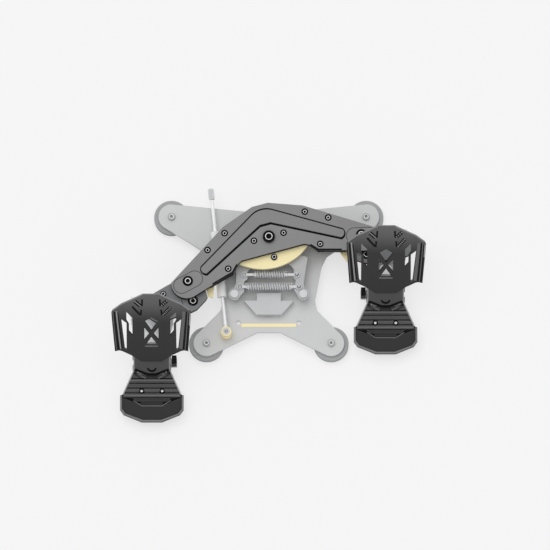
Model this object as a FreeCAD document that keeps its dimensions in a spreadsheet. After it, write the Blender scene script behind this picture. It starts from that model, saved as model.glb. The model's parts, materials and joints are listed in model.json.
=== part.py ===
import FreeCAD, Part
import math
import os
import types

import Sketcher

# Flight rudder pedals: a swinging arm on a fixed base, with a toe plate and a heel rest at each end.
# Millimetres, +Z up, +Y away from the user. The model's origin is the middle of its footprint.
# Every length below is measured from the swing axis of the arm unless its name says otherwise.

SIZES = {
    # rest position of the arm, in degrees from straight across
    "swing_rest": 15.4,
    # base plate
    "foot_height": 12, "foot_radius": 25.3, "plate_thick": 5, "lobe_radius": 19,
    "rear_foot_x": 141.5, "rear_foot_y": 39.5, "front_foot_x": 90.5, "front_foot_y": 148,
    "rear_edge_angle": 5.7, "rear_flank_angle": 148.4,
    "front_flank_angle": 45.7, "front_edge_angle": 206.6,
    "rear_middle_y": 44.1, "shoulder_x": 114, "shoulder_y": 0.2, "waist_top_x": 84, "waist_top_y": 20,
    "waist_x": 76.4, "waist_y": 36, "waist_low_x": 67, "waist_low_y": 85,
    "flare_x": 70, "flare_y": 99.7, "notch_x": 16.5, "notch_y": 132.2,
    "rig_hole_radius": 3.3, "rig_hole_x": 44, "rig_hole_rear": 28, "rig_hole_front": 118,
    "foot_bolt_radius": 3, "foot_head_radius": 5.2, "foot_head_height": 4, "foot_bolt_depth": 9,
    # bearing hub
    "hub_flange_radius": 32, "hub_flange_thick": 6, "hub_radius": 18, "hub_height": 24,
    "bearing_radius": 12, "bearing_width": 6, "shaft_radius": 6, "running_gap": 0.03,
    "hub_throat_radius": 10.5, "hub_bolt_circle": 25, "hub_bolt_radius": 2, "hub_head_radius": 3.6,
    "hub_head_height": 3, "board_thick": 1.6, "board_radius": 11.4, "magnet_radius": 3,
    "magnet_thick": 1.8, "seat_gap": 0.3,
    # shaft that carries the arm
    "shaft_low": 21, "collar_radius": 14, "collar_low": 41.3, "cam_low": 44, "spigot_radius": 8,
    "centre_bolt_radius": 4, "centre_head_radius": 8.7, "centre_head_height": 6,
    "centre_bolt_low": 28,
    # arm plate, spars, cam
    "arm_low": 52, "arm_thick": 10, "apex_x": 12, "apex_y": 49.5, "knee_x": 60, "knee_y": 32.1,
    "end_x": 133, "end_y": 34.5, "end_radius": 22.3, "end_upper_angle": 17.5, "end_lower_angle": -103,
    "heel_x": 97, "heel_y": 46.8, "belly_x": 72, "belly_y": 39.5, "chin_x": 64, "chin_y": 37.6,
    "throat_x": 53.7, "throat_y": 26.7, "mouth_x": 47, "mouth_y": 23.3,
    "inlay_tip_x": 106.6, "inlay_tip_y": 17.5, "inlay_bend_x": 16, "inlay_bend_y": 37.1,
    "inlay_bend_radius": 31, "inlay_low_x": 101, "inlay_low_y": 28, "inlay_flat_x": 8,
    "inlay_flat_y": 20.8, "inlay_tip_radius": 7, "groove_upper": 1.8, "groove_lower": 3.6,
    "inlay_depth": 5, "inlay_thick": 4.3,
    "cap_inner_x": 120, "cap_inner_y": 31, "cap_outer_x": 141, "cap_outer_y": 36, "cap_radius": 11.3,
    "cap_gap": 0.5, "cap_thick": 3,
    "cam_half": 52, "cam_side_y": 24.5, "cam_radius": 79, "cam_top_x": 34, "cam_top_y": 18,
    "roller_y": 29, "roller_radius": 6, "roller_low": 30, "roller_high": 43.7,
    "clip_radius": 4.6, "clip_thick": 1.6,
    "spar_low": 44, "spar_inner": 57, "spar_outer": 107, "spar_margin": 0.3,
    # screws of the arm
    "small_head_radius": 4.2, "small_head_height": 3, "small_bolt_radius": 2.5, "small_pocket": 4.9,
    "big_head_radius": 6.8, "big_head_height": 4.5, "big_bolt_radius": 4, "big_pocket": 7.5,
    "hex_small": 1.7, "hex_big": 3.2, "hex_depth": 2,
    "screw_a_x": 60.3, "screw_a_y": 22.5, "screw_b_x": 90.8, "screw_b_y": 5, "screw_c_x": 69.2,
    "screw_c_y": 29.7, "screw_d_x": 22.3, "screw_d_y": 0.4, "end_screw_x": 130.5, "end_screw_y": 31.7,
    # end brackets and pedal carriers
    "bracket_low": 42, "bracket_seam": 146, "seam_gap": 0.4, "bracket_screw_y": 59.8,
    "bracket_nose_x": 108.5, "bracket_nose_top": 38, "bracket_nose_low": 61, "bracket_front_y": 75.5,
    "bracket_chin_x": 128, "bracket_chin_y": 73.5, "bracket_back_y": 24.5,
    "carrier_outer": 200, "carrier_back_y": 36, "carrier_front_y": 78, "carrier_corner": 12,
    "carrier_rib_x": 182, "carrier_rib_y": 33.8, "tongue_low": 38, "tongue_inner": 121,
    "tongue_back_y": 52, "tongue_front_y": 68, "tongue_outer": 154, "carrier_screw_x": 169.5,
    "carrier_screw_back": 39,
    "carrier_screw_front": 61.3, "block_inner": 94, "block_tip": 100.4, "block_outer": 107,
    "block_back": 30, "block_shoulder": 44, "block_front": 57.6, "block_slant": 3.8, "block_low": 38,
    # swivel heads and cross slides
    "swivel_x": 190, "swivel_y": 50.2, "swivel_radius": 5, "swivel_pin_top": 51, "head_half_x": 12,
    "head_half_y": 14.6, "head_low": 23.5, "head_top": 41.6, "head_shift": 13.68,
    "head_plate_low": 36.8, "head_plate_half_y": 8.6, "rod_radius": 3.5, "rod_spread": 9,
    "rod_z": 28.5, "rod_half": 32,
    # pedal frames
    "pedal_x": 169.5, "frame_half": 30.7, "cheek_thick": 4.2, "cheek_half_y": 15.5, "cheek_top": 36,
    "pan_low": 19, "pan_thick": 3, "pan_drop": 8, "pan_rear": 15.5, "slope_rear": 50,
    "slope_front": 66, "neck_half": 21.6, "pan_waist_y": 48, "pan_front": 150,
    "brake_offset": 87.2, "brake_z": 24.2, "brake_pin_radius": 3, "ear_inner": 18.6, "ear_outer": 21.6,
    "ear_radius": 5.9, "shelf_gap": 0.7,
    # heel rests: a sheet, ribs across it, and a smooth dish with a rim round it
    "heel_seat": 14, "heel_thick": 3, "rib_height": 2.2, "rib_width": 5.2, "rib_pitch": 7.1,
    "rib_count": 5, "rib_start": 95.6, "heel_rear": 95.2, "heel_rear_half": 29.6, "heel_mid": 125.4,
    "heel_mid_half": 43, "heel_edge": 2.4, "heel_step": 1.5,
    "heel_lip_half": 46.1, "heel_side": 22.8, "heel_corner_half": 40.8, "heel_corner_run": 7.2,
    "heel_front_half": 14.6, "heel_front_run": 10.8, "heel_rim": 2.6,
    "heel_rim_height": 4.5, "heel_screw_x": 14.9, "heel_screw_y": 120.3,
    "heel_bolt_radius": 2, "heel_head_radius": 3.7, "heel_head_height": 2.4,
    "dish_side_run": 4.4, "dish_bend_half": 31, "dish_bend_run": 9.8, "dish_floor_half": 14,
    "dish_floor_run": 17.6, "last_rib_half": 27, "last_rib_width": 4.2,
    # toe plates and their necks, in the leaning frame of the brake axis
    "toe_lean": 30, "toe_rise": 27.4, "toe_front": 12.2, "toe_sheet": 3, "toe_straight": 85,
    "toe_bend_radius": 130, "toe_bend_angle": 22, "wing_root": 43, "wing_edge": 57.5, "wing_bend": 5.5,
    "toe_foot_half": 14.5, "toe_hip_half": 29.3, "toe_hip": 13.7, "toe_side_half": 47.1,
    "toe_side": 26, "toe_edge_half": 53, "toe_edge": 26.7, "toe_shoulder_half": 57.4,
    "toe_shoulder": 108.4, "toe_cut_half": 55.5, "toe_cut": 112.5, "toe_tab_half": 12.3,
    "neck_sheet": 3, "neck_outer": 24.9, "neck_gap": 0.3, "neck_top": 50, "neck_low": -6,
    "neck_low_half": 7.3, "neck_side_low": 4.4, "neck_flange_back": 8, "neck_flange_top": 44,
    "toe_bolt_rise": 23.2, "toe_bolt_margin": 6, "toe_bolt_radius": 4.6, "toe_bolt_head": 3,
    # windows of the toe plate: half widths and rises from its lowest edge
    "slot_outer": 43.4, "slot_middle": 35.8, "slot_inner": 27.4, "slot_waist": 32.3,
    "slot_foot_outer": 38.6, "slot_foot_inner": 36.1, "outer_slot_top": 91.9, "outer_slot_bend": 83.9,
    "outer_slot_low": 25.8, "outer_slot_foot": 27.7, "inner_slot_top": 105.7, "inner_slot_bend": 95,
    "inner_slot_low": 57, "inner_slot_foot": 65.2, "inner_slot_waist": 79.7, "inner_slot_side": 88,
    "window_half": 10.2, "kite_top": 95, "kite_side": 87.4, "kite_low": 66.4, "side_tip_half": 2.6,
    "side_tip": 60, "side_top": 73.6, "side_low": 46.4, "lower_tip": 53.6, "foot_window_half": 7.6,
    "lower_base": 38.4, "bar_window_half": 9.7, "bar_window_low": 32.2, "bar_window_top": 35.6,
    # brake cylinders
    "cylinder_y": 39.6, "cylinder_z": 37.8, "cylinder_rise": 36, "cylinder_start": 6,
    "cylinder_length": 22, "cylinder_radius": 9, "cylinder_bore": 6.5, "cylinder_wall": 2,
    "plunger_radius": 4, "plunger_start": 17, "plunger_end": 40.4, "plunger_piston": 5,
    "plunger_tip_radius": 1.5, "plunger_tip": 3, "cylinder_foot_half": 7, "cylinder_foot_rear": 36,
    "cylinder_foot_front": 52, "cylinder_foot_top": 34,
    # brake sensors
    "sensor_x": 28.8, "sensor_width": 7, "sensor_rear": 71, "sensor_front": 83.5, "sensor_top": 36,
    # jaws and springs
    "jaw_x": 50, "jaw_y": 80, "jaw_low": 31, "jaw_thick": 9, "jaw_hub": 8.5, "jaw_bar_x": 44,
    "jaw_bar_half": 3.6, "jaw_top_y": 25, "jaw_face": 6.3, "jaw_open": 9.4,
    "jaw_bolt_radius": 4, "jaw_bolt_head": 6, "jaw_bolt_head_height": 3,
    "upper_hook_x": 36, "lower_hook_x": 42,
    "upper_spring_y": 52.6, "lower_spring_y": 70, "hook_radius": 2, "hook_height": 5,
    "spring_wire": 0.8, "spring_mean": 4.6, "upper_turns": 13, "lower_turns": 18,
    "upper_half": 23.5, "lower_half": 32.6, "spring_z": 41.5, "eye_radius": 4.4, "eye_thick": 2.4,
    "eye_hole": 3.1, "plug_radius": 3.3, "plug_length": 4,
    "ear_reach": 6, "stop_y": 64.4, "stop_half_y": 2.2, "stop_top": 35.5,
    # electronics cover
    "cover_top_half": 36, "cover_low_half": 18, "cover_rear": 87.5, "cover_front": 108,
    "cover_height": 12, "cover_wall": 2, "cover_side_gap": 6.4, "panel_half": 17.4, "panel_rear": 76.4,
    "panel_rise": 1, "socket_half": 5.5, "socket_depth": 7, "socket_height": 4.6,
    # damper
    "damper_x": 61.8, "damper_y": 134.8, "damper_z": 29.5, "damper_angle": 6.08,
    "damper_rod_radius": 2.5, "damper_rod_length": 200, "damper_eye_radius": 7.6,
    "damper_eye_thick": 8, "damper_bolt_radius": 4, "damper_head_radius": 6.5,
    "damper_head_height": 4.5, "damper_boss_radius": 8, "body_start": 52.5, "body_length": 97.5,
    "body_radius": 7, "body_wall_gap": 0.05, "knob_start": 198, "knob_length": 16.5,
    "knob_radius": 4.4, "trunnion_x": 77.2, "trunnion_y": 2.6, "trunnion_radius": 3,
    "trunnion_slot": 3.2, "trunnion_low": 36.8, "lug_height": 5, "lug_half_x": 10, "lug_half_y": 7,
    # plain bar on the front of the base
    "bar_half": 40, "bar_half_y": 2.5, "bar_y": 121.5, "bar_thick": 0.8,
}

doc = FreeCAD.newDocument("rudder_pedals")
sheet = doc.addObject("Spreadsheet::Sheet", "Params")


class Size:
    """A length or angle: its number now, and the formula on the sheet's cells that gives it."""

    def __init__(self, number, formula):
        self.number = float(number)
        self.formula = formula

    def __add__(self, other):
        other = as_size(other)
        return Size(self.number + other.number, f"({self.formula} + {other.formula})")

    def __sub__(self, other):
        other = as_size(other)
        return Size(self.number - other.number, f"({self.formula} - {other.formula})")

    def __mul__(self, other):
        other = as_size(other)
        return Size(self.number * other.number, f"({self.formula} * {other.formula})")

    def __truediv__(self, other):
        other = as_size(other)
        return Size(self.number / other.number, f"({self.formula} / {other.formula})")

    def __neg__(self):
        return Size(-self.number, f"(0 - {self.formula})")

    __radd__ = __add__
    __rmul__ = __mul__


def as_size(value):
    return value if isinstance(value, Size) else Size(value, repr(float(value)))


def sine(angle):
    return Size(math.sin(math.radians(angle.number)), f"sin({angle.formula})")


def cosine(angle):
    return Size(math.cos(math.radians(angle.number)), f"cos({angle.formula})")


def sheet_cell(index):
    return f"{'ABCDEFGH'[index // 60]}{index % 60 + 1}"


def fill_sheet():
    sizes = {}
    for index, (name, number) in enumerate(SIZES.items()):
        cell = sheet_cell(index)
        sheet.set(cell, str(number))
        sheet.setAlias(cell, name)
        sizes[name] = Size(number, f"Params.{name}")
    doc.recompute()
    return types.SimpleNamespace(**sizes)


S = fill_sheet()
ZERO = as_size(0)
PIECES = {}


# Helpers: frames, sketches, features

class Frame:
    """Where a group of pieces stands: an origin, a turn about Z, or a lean about X."""

    def __init__(self, x, y, z, turn=None, lean=None):
        self.origin = (as_size(x), as_size(y), as_size(z))
        self.turn = turn
        self.lean = lean

    def place(self, piece):
        axis = FreeCAD.Vector(1, 0, 0) if self.lean is not None else FreeCAD.Vector(0, 0, 1)
        angle = self.lean if self.lean is not None else self.turn
        number = angle.number if angle is not None else 0.0
        base = FreeCAD.Vector(*(part.number for part in self.origin))
        piece.Placement = FreeCAD.Placement(base, FreeCAD.Rotation(axis, number))
        for letter, part in zip("xyz", self.origin):
            piece.setExpression(f"Placement.Base.{letter}", part.formula)
        if angle is not None:
            piece.setExpression("Placement.Rotation.Angle", angle.formula)


class Bend:
    """The arc from one outline point to the next: its radius, and the side it bulges to."""

    def __init__(self, radius, side=1):
        self.radius = as_size(radius)
        self.side = side


def arc_curve(start, end, bend):
    """The shorter arc between two points, always drawn anticlockwise, as a sketch holds it."""
    chord_x, chord_y = end[0] - start[0], end[1] - start[1]
    chord = math.hypot(chord_x, chord_y)
    inset = math.sqrt(max(bend.radius.number**2 - chord**2 / 4, 0.0)) * bend.side
    centre_x = (start[0] + end[0]) / 2 + chord_y / chord * inset
    centre_y = (start[1] + end[1]) / 2 - chord_x / chord * inset
    circle = Part.Circle(
        FreeCAD.Vector(centre_x, centre_y, 0), FreeCAD.Vector(0, 0, 1), bend.radius.number
    )
    first, last = (end, start) if bend.side > 0 else (start, end)
    low = math.atan2(first[1] - centre_y, first[0] - centre_x)
    high = math.atan2(last[1] - centre_y, last[0] - centre_x)
    return Part.ArcOfCircle(circle, low, high if high > low else high + 2 * math.pi)


def bind(sketch, kind, geometry, size, point=None):
    """Adds one dimension to a sketch, held to a formula of the sheet."""
    if point is None:
        constraint = Sketcher.Constraint(kind, geometry, size.number)
    else:
        constraint = Sketcher.Constraint(kind, -1, 1, geometry, point, size.number)
    index = sketch.addConstraint(constraint)
    if "Params" in size.formula:
        sketch.setExpression(f"Constraints[{index}]", size.formula)


def draw_outline(sketch, points, closed=True):
    """Draws lines and arcs through points (x, y) or (x, y, Bend), each point tied to the sheet."""
    spots = [(as_size(point[0]), as_size(point[1])) for point in points]
    plain = [(x.number, y.number) for x, y in spots]
    count = len(points)
    spans = []
    for index in range(count if closed else count - 1):
        start, end = plain[index], plain[(index + 1) % count]
        first, last = FreeCAD.Vector(*start, 0), FreeCAD.Vector(*end, 0)
        bend = points[index][2] if len(points[index]) > 2 else None
        curve = arc_curve(start, end, bend) if bend else Part.LineSegment(first, last)
        geometry = sketch.addGeometry(curve, False)
        backward = bend is not None and bend.side > 0
        spans.append((geometry, 2, 1) if backward else (geometry, 1, 2))
        if bend:
            bind(sketch, "Radius", geometry, bend.radius)
    for index, (geometry, start_point, _end_point) in enumerate(spans):
        previous, _start, previous_end = spans[index - 1]
        if closed or index:
            sketch.addConstraint(
                Sketcher.Constraint("Coincident", previous, previous_end, geometry, start_point)
            )
        bind(sketch, "DistanceX", geometry, spots[index][0], start_point)
        bind(sketch, "DistanceY", geometry, spots[index][1], start_point)
    if not closed:
        geometry, _start, end_point = spans[-1]
        bind(sketch, "DistanceX", geometry, spots[-1][0], end_point)
        bind(sketch, "DistanceY", geometry, spots[-1][1], end_point)


def draw_circle(sketch, x, y, radius):
    x, y, radius = as_size(x), as_size(y), as_size(radius)
    centre = FreeCAD.Vector(x.number, y.number, 0)
    circle = Part.Circle(centre, FreeCAD.Vector(0, 0, 1), radius.number)
    geometry = sketch.addGeometry(circle, False)
    bind(sketch, "DistanceX", geometry, x, 3)
    bind(sketch, "DistanceY", geometry, y, 3)
    bind(sketch, "Radius", geometry, radius)


def new_body(label):
    body = doc.addObject("PartDesign::Body", label)
    body.Label = label
    body.AllowCompound = True
    return body


def new_sketch(body, role, outlines=(), circles=(), offset=ZERO, closed=True):
    """A sketch on one of the body's origin planes, lifted off it by the offset."""
    sketch = body.newObject("Sketcher::SketchObject", f"{body.Label}_sketch")
    plane = next(item for item in body.Origin.OriginFeatures if item.Role == role)
    sketch.AttachmentSupport = [(plane, "")]
    sketch.MapMode = "FlatFace"
    offset = as_size(offset)
    sketch.AttachmentOffset = FreeCAD.Placement(
        FreeCAD.Vector(0, 0, offset.number), FreeCAD.Rotation()
    )
    if "Params" in offset.formula:
        sketch.setExpression("AttachmentOffset.Base.z", offset.formula)
    for points in outlines:
        draw_outline(sketch, points, closed)
    for circle in circles:
        draw_circle(sketch, *circle)
    return sketch


def pad(body, role, outlines=(), circles=(), low=ZERO, length=ZERO, middle=False):
    sketch = new_sketch(body, role, outlines, circles, low)
    feature = body.newObject("PartDesign::Pad", f"{body.Label}_pad")
    feature.Profile = sketch
    feature.Midplane = middle
    length = as_size(length)
    feature.Length = length.number
    feature.setExpression("Length", length.formula)
    return feature


def pocket(body, role, outlines=(), circles=(), top=ZERO, depth=None, upward=False):
    """Cuts down from a sketch at the height top, up from it, or both ways right through."""
    sketch = new_sketch(body, role, outlines, circles, top)
    feature = body.newObject("PartDesign::Pocket", f"{body.Label}_pocket")
    feature.Profile = sketch
    if depth is None:
        feature.Type = 1
        feature.Midplane = True
    else:
        depth = as_size(depth)
        feature.Reversed = upward
        feature.Length = depth.number
        feature.setExpression("Length", depth.formula)
    return feature


def keep(piece, frame):
    """Files a finished piece under its label, standing in its frame."""
    frame.place(piece)
    PIECES[piece.Label] = piece


def mirrored(points, ring=True):
    """The same outline on the other side of the middle line; ring is false for half an outline."""
    turned = []
    for index in range(len(points) - 1, -1, -1):
        point = points[index]
        before = points[index - 1] if index or ring else ()
        spot = (-as_size(point[0]), point[1])
        turned.append(spot + (before[2],) if len(before) > 2 else spot)
    return turned


def both_sides(points):
    """A closed outline from the points of its right half, listed from rear to front."""
    return list(points) + mirrored(points, ring=False)


def sided(points, side):
    return points if side > 0 else mirrored(points)


def rectangle(x_low, x_high, y_low, y_high):
    return [(x_low, y_low), (x_high, y_low), (x_high, y_high), (x_low, y_high)]


def disc(x, y, radius, low, height, name):
    """A plain upright cylinder, for use in a boolean."""
    item = doc.addObject("Part::Cylinder", name)
    values = {"Radius": radius, "Height": height}
    for prop, size in values.items():
        size = as_size(size)
        setattr(item, prop, size.number)
        item.setExpression(prop, size.formula)
    Frame(x, y, low).place(item)
    return item


def screws(label, frame, spots, head_radius, head_height, bolt_radius, hex_radius):
    """Socket screws with flat round heads: spots are (x, y, z under the head, length below it)."""
    solids = []
    for index, (x, y, seat, depth) in enumerate(spots):
        name = f"{label}_{index + 1}"
        head = disc(x, y, head_radius, seat, head_height, f"{name}_head")
        shank = disc(x, y, bolt_radius, seat - depth, depth, f"{name}_shank")
        whole = doc.addObject("Part::Fuse", f"{name}_blank")
        whole.Base, whole.Tool = head, shank
        prism = doc.addObject("Part::Prism", f"{name}_hex")
        prism.Polygon = 6
        prism.Circumradius = hex_radius.number
        prism.setExpression("Circumradius", hex_radius.formula)
        prism.setExpression("Height", (S.hex_depth * 2).formula)
        Frame(x, y, seat + head_height - S.hex_depth).place(prism)
        screw = doc.addObject("Part::Cut", f"{name}_screw")
        screw.Base, screw.Tool = whole, prism
        solids.append(screw)
    group = doc.addObject("Part::Compound", label)
    group.Label = label
    group.Links = solids
    keep(group, frame)
    return group


# Frames of the assembly

SWING_COS = cosine(S.swing_rest)
SWING_SIN = sine(S.swing_rest)


def swung(x, y):
    """A point of the arm's own frame, where it stands with the arm at rest."""
    x, y = as_size(x), as_size(y)
    return x * SWING_COS - y * SWING_SIN, x * SWING_SIN + y * SWING_COS


HEAD_SPOTS = {side: swung(S.swivel_x * side, -S.swivel_y) for side in (-1, 1)}
HEEL_LIP = S.heel_mid + S.heel_side
HEEL_CORNER = HEEL_LIP + S.heel_corner_run
HEEL_FRONT = HEEL_CORNER + S.heel_front_run
REACH_FRONT = HEEL_FRONT + -HEAD_SPOTS[-1][1]
REACH_REAR = (
    (S.knob_start + S.knob_length) * cosine(S.damper_angle)
    + S.knob_radius * sine(S.damper_angle)
    - S.damper_y
)
PIVOT_Y = (REACH_FRONT - REACH_REAR) / 2
PLATE_TOP = S.foot_height + S.plate_thick
ARM_TOP = S.arm_low + S.arm_thick

BASE = Frame(0, PIVOT_Y, 0)
ARM = Frame(0, PIVOT_Y, 0, turn=S.swing_rest)
DAMPER = Frame(-S.damper_x, PIVOT_Y - S.damper_y, S.damper_z, turn=S.damper_angle)
SIDE_NAMES = {-1: "left", 1: "right"}


def head_frame(side):
    x, y = HEAD_SPOTS[side]
    return Frame(x, PIVOT_Y + y, 0)


def pedal_frame(side):
    return Frame(S.pedal_x * side, PIVOT_Y + HEAD_SPOTS[side][1], 0)


def toe_frame(side, back=ZERO, up=ZERO):
    """The leaning frame of the brake axis, moved back and up along its own directions."""
    lean_cos, lean_sin = cosine(S.toe_lean), sine(S.toe_lean)
    y = PIVOT_Y + HEAD_SPOTS[side][1] - S.brake_offset
    return Frame(
        S.pedal_x * side,
        y + back * lean_cos + up * lean_sin,
        S.brake_z - back * lean_sin + up * lean_cos,
        lean=-S.toe_lean,
    )


# Base: plate, feet, bearing hub, electronics

def base_outline():
    def lobe(x, y, angle, bend=None):
        spot = (x + S.lobe_radius * sine(angle), y + S.lobe_radius * cosine(angle))
        return spot + (bend,) if bend else spot

    turn = Bend(S.lobe_radius)
    half = [
        lobe(S.rear_foot_x, S.rear_foot_y, S.rear_edge_angle, turn),
        lobe(S.rear_foot_x, S.rear_foot_y, S.rear_flank_angle),
        (S.shoulder_x, S.shoulder_y),
        (S.waist_top_x, -S.waist_top_y),
        (S.waist_x, -S.waist_y),
        (S.waist_low_x, -S.waist_low_y),
        (S.flare_x, -S.flare_y),
        lobe(S.front_foot_x, -S.front_foot_y, S.front_flank_angle, turn),
        lobe(S.front_foot_x, -S.front_foot_y, S.front_edge_angle),
        (S.notch_x, -S.notch_y),
    ]
    return [(0, S.rear_middle_y)] + both_sides(half)


FEET = [(S.rear_foot_x * side, S.rear_foot_y) for side in (-1, 1)] + [
    (S.front_foot_x * side, -S.front_foot_y) for side in (-1, 1)
]


def make_base():
    plate = new_body("base_plate")
    pad(plate, "XY_Plane", [base_outline()], low=S.foot_height, length=S.plate_thick)
    rig_holes = [
        (S.rig_hole_x * side, y, S.rig_hole_radius)
        for side in (-1, 1)
        for y in (S.rig_hole_rear, -S.rig_hole_front)
    ]
    foot_holes = [(x, y, S.foot_bolt_radius + S.running_gap) for x, y in FEET]
    hub_holes = [(x, y, S.hub_bolt_radius + S.running_gap) for x, y in hub_bolt_spots()]
    pocket(plate, "XY_Plane", circles=rig_holes + foot_holes + hub_holes)
    keep(plate, BASE)

    feet = new_body("rubber_feet")
    pad(feet, "XY_Plane", circles=[(x, y, S.foot_radius) for x, y in FEET], length=S.foot_height)
    holes = [(x, y, S.foot_bolt_radius + S.running_gap) for x, y in FEET]
    pocket(feet, "XY_Plane", circles=holes, top=S.foot_height, depth=S.foot_bolt_depth - S.plate_thick)
    keep(feet, BASE)

    length = S.foot_bolt_depth - S.seat_gap
    screws("foot_screws", BASE, [(x, y, PLATE_TOP, length) for x, y in FEET], S.foot_head_radius,
           S.foot_head_height, S.foot_bolt_radius, S.hex_big)

    bar = new_body("front_trim_bar")
    outline = rectangle(-S.bar_half, S.bar_half, -S.bar_y - S.bar_half_y, -S.bar_y + S.bar_half_y)
    pad(bar, "XY_Plane", [outline], low=PLATE_TOP, length=S.bar_thick)
    keep(bar, BASE)


def hub_bolt_spots():
    return [
        (S.hub_bolt_circle * cosine(as_size(angle)), S.hub_bolt_circle * sine(as_size(angle)))
        for angle in range(0, 360, 60)
    ]


def make_hub():
    hub = new_body("pivot_hub")
    flange_top = PLATE_TOP + S.hub_flange_thick
    pad(hub, "XY_Plane", circles=[(0, 0, S.hub_flange_radius)], low=PLATE_TOP, length=S.hub_flange_thick)
    pad(hub, "XY_Plane", circles=[(0, 0, S.hub_radius)], low=PLATE_TOP, length=S.hub_height)
    hub_top = PLATE_TOP + S.hub_height
    seat = S.bearing_radius + S.running_gap
    pocket(hub, "XY_Plane", circles=[(0, 0, S.hub_throat_radius)])
    pocket(hub, "XY_Plane", circles=[(0, 0, seat)], top=hub_top, depth=S.bearing_width)
    low_seat = S.hub_flange_thick + S.bearing_width
    pocket(hub, "XY_Plane", circles=[(0, 0, seat)], top=PLATE_TOP, depth=low_seat, upward=True)
    bolts = [(x, y, S.hub_bolt_radius + S.running_gap) for x, y in hub_bolt_spots()]
    pocket(hub, "XY_Plane", circles=bolts)
    keep(hub, BASE)

    bearings = new_body("pivot_bearings")
    for low in (flange_top, hub_top - S.bearing_width):
        pad(bearings, "XY_Plane", circles=[(0, 0, S.bearing_radius), (0, 0, S.shaft_radius)],
            low=low, length=S.bearing_width)
    keep(bearings, BASE)

    board = new_body("encoder_board")
    pad(board, "XY_Plane", circles=[(0, 0, S.board_radius)], low=PLATE_TOP, length=S.board_thick)
    keep(board, BASE)

    length = S.hub_flange_thick + S.plate_thick - S.seat_gap
    screws("hub_screws", BASE, [(x, y, flange_top, length) for x, y in hub_bolt_spots()],
           S.hub_head_radius, S.hub_head_height, S.hub_bolt_radius, S.hex_small)


def make_cover():
    """The wedge-shaped electronics cover in front of the springs, its board and its socket."""
    outline = [
        (S.cover_top_half, -S.cover_rear), (S.cover_low_half, -S.cover_front),
        (-S.cover_low_half, -S.cover_front), (-S.cover_top_half, -S.cover_rear),
    ]
    cover = new_body("electronics_cover")
    pad(cover, "XY_Plane", [outline], low=PLATE_TOP, length=S.cover_height)
    panel = rectangle(-S.panel_half, S.panel_half, -S.cover_front, -S.panel_rear)
    pad(cover, "XY_Plane", [panel], low=PLATE_TOP, length=S.cover_height + S.panel_rise)
    hollow = [
        (S.cover_top_half - S.cover_side_gap, -S.cover_rear - S.cover_wall),
        (S.cover_low_half - S.cover_wall, -S.cover_front + S.cover_wall),
        (-S.cover_low_half + S.cover_wall, -S.cover_front + S.cover_wall),
        (-S.cover_top_half + S.cover_side_gap, -S.cover_rear - S.cover_wall),
    ]
    pocket(cover, "XY_Plane", [hollow], top=PLATE_TOP, depth=S.cover_height - S.cover_wall, upward=True)
    port_half = S.socket_half + S.seat_gap
    socket_low = PLATE_TOP + S.board_thick
    port = rectangle(-port_half, port_half, PLATE_TOP, socket_low + S.socket_height + S.seat_gap)
    pocket(cover, "XZ_Plane", [port], top=S.cover_front + 1, depth=S.cover_wall + 2)
    keep(cover, BASE)

    board = new_body("control_board")
    board_half = S.cover_low_half - S.cover_wall - 1
    outline = rectangle(-board_half, board_half, -S.cover_front + S.cover_wall + 0.5,
                        -S.cover_rear - S.cover_wall - 1)
    pad(board, "XY_Plane", [outline], low=PLATE_TOP, length=S.board_thick)
    keep(board, BASE)

    socket = new_body("usb_socket")
    front = -S.cover_front
    outline = rectangle(-S.socket_half, S.socket_half, front, front + S.socket_depth)
    pad(socket, "XY_Plane", [outline], low=socket_low, length=S.socket_height)
    mouth = rectangle(-S.socket_half + 1, S.socket_half - 1, socket_low + 1,
                      socket_low + S.socket_height - 1)
    pocket(socket, "XZ_Plane", [mouth], top=S.cover_front, depth=S.socket_depth - 1)
    keep(socket, BASE)


def make_jaw_fixings():
    """Shoulder bolts that carry the jaws, and the bar that stops them closing on each other."""
    bolts = []
    for side in (-1, 1):
        x, y = S.jaw_x * side, -S.jaw_y
        name = f"jaw_bolt_{SIDE_NAMES[side]}"
        base = disc(x, y, S.jaw_bolt_head, PLATE_TOP, S.jaw_low - PLATE_TOP - S.seat_gap, f"{name}_base")
        shank = disc(x, y, S.jaw_bolt_radius, PLATE_TOP,
                     S.jaw_low - PLATE_TOP + S.jaw_thick + S.seat_gap, f"{name}_shank")
        head = disc(x, y, S.jaw_bolt_head, S.jaw_low + S.jaw_thick + S.seat_gap,
                    S.jaw_bolt_head_height, f"{name}_head")
        bolt = doc.addObject("Part::MultiFuse", name)
        bolt.Shapes = [base, shank, head]
        bolts.append(bolt)
    group = doc.addObject("Part::Compound", "jaw_bolts")
    group.Label = "jaw_bolts"
    group.Links = bolts
    keep(group, BASE)

    stop = new_body("jaw_stop")
    half = S.lower_hook_x - S.ear_reach - S.seat_gap
    outline = rectangle(-half, half, -S.stop_y - S.stop_half_y, -S.stop_y + S.stop_half_y)
    pad(stop, "XY_Plane", [outline], low=PLATE_TOP, length=S.stop_top - PLATE_TOP)
    keep(stop, BASE)


# Arm: plate, inlay, caps, cam, spars, shaft and screws

def end_spot(angle):
    return S.end_x + S.end_radius * cosine(angle), -S.end_y + S.end_radius * sine(angle)


def arm_outline():
    half = [
        (S.apex_x, S.apex_y),
        (S.knee_x, S.knee_y),
        end_spot(S.end_upper_angle) + (Bend(S.end_radius),),
        end_spot(S.end_lower_angle),
        (S.heel_x, -S.heel_y),
        (S.belly_x, -S.belly_y),
        (S.chin_x, -S.chin_y),
        (S.throat_x, -S.throat_y),
        (S.mouth_x, -S.mouth_y),
    ]
    return both_sides(half)


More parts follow.
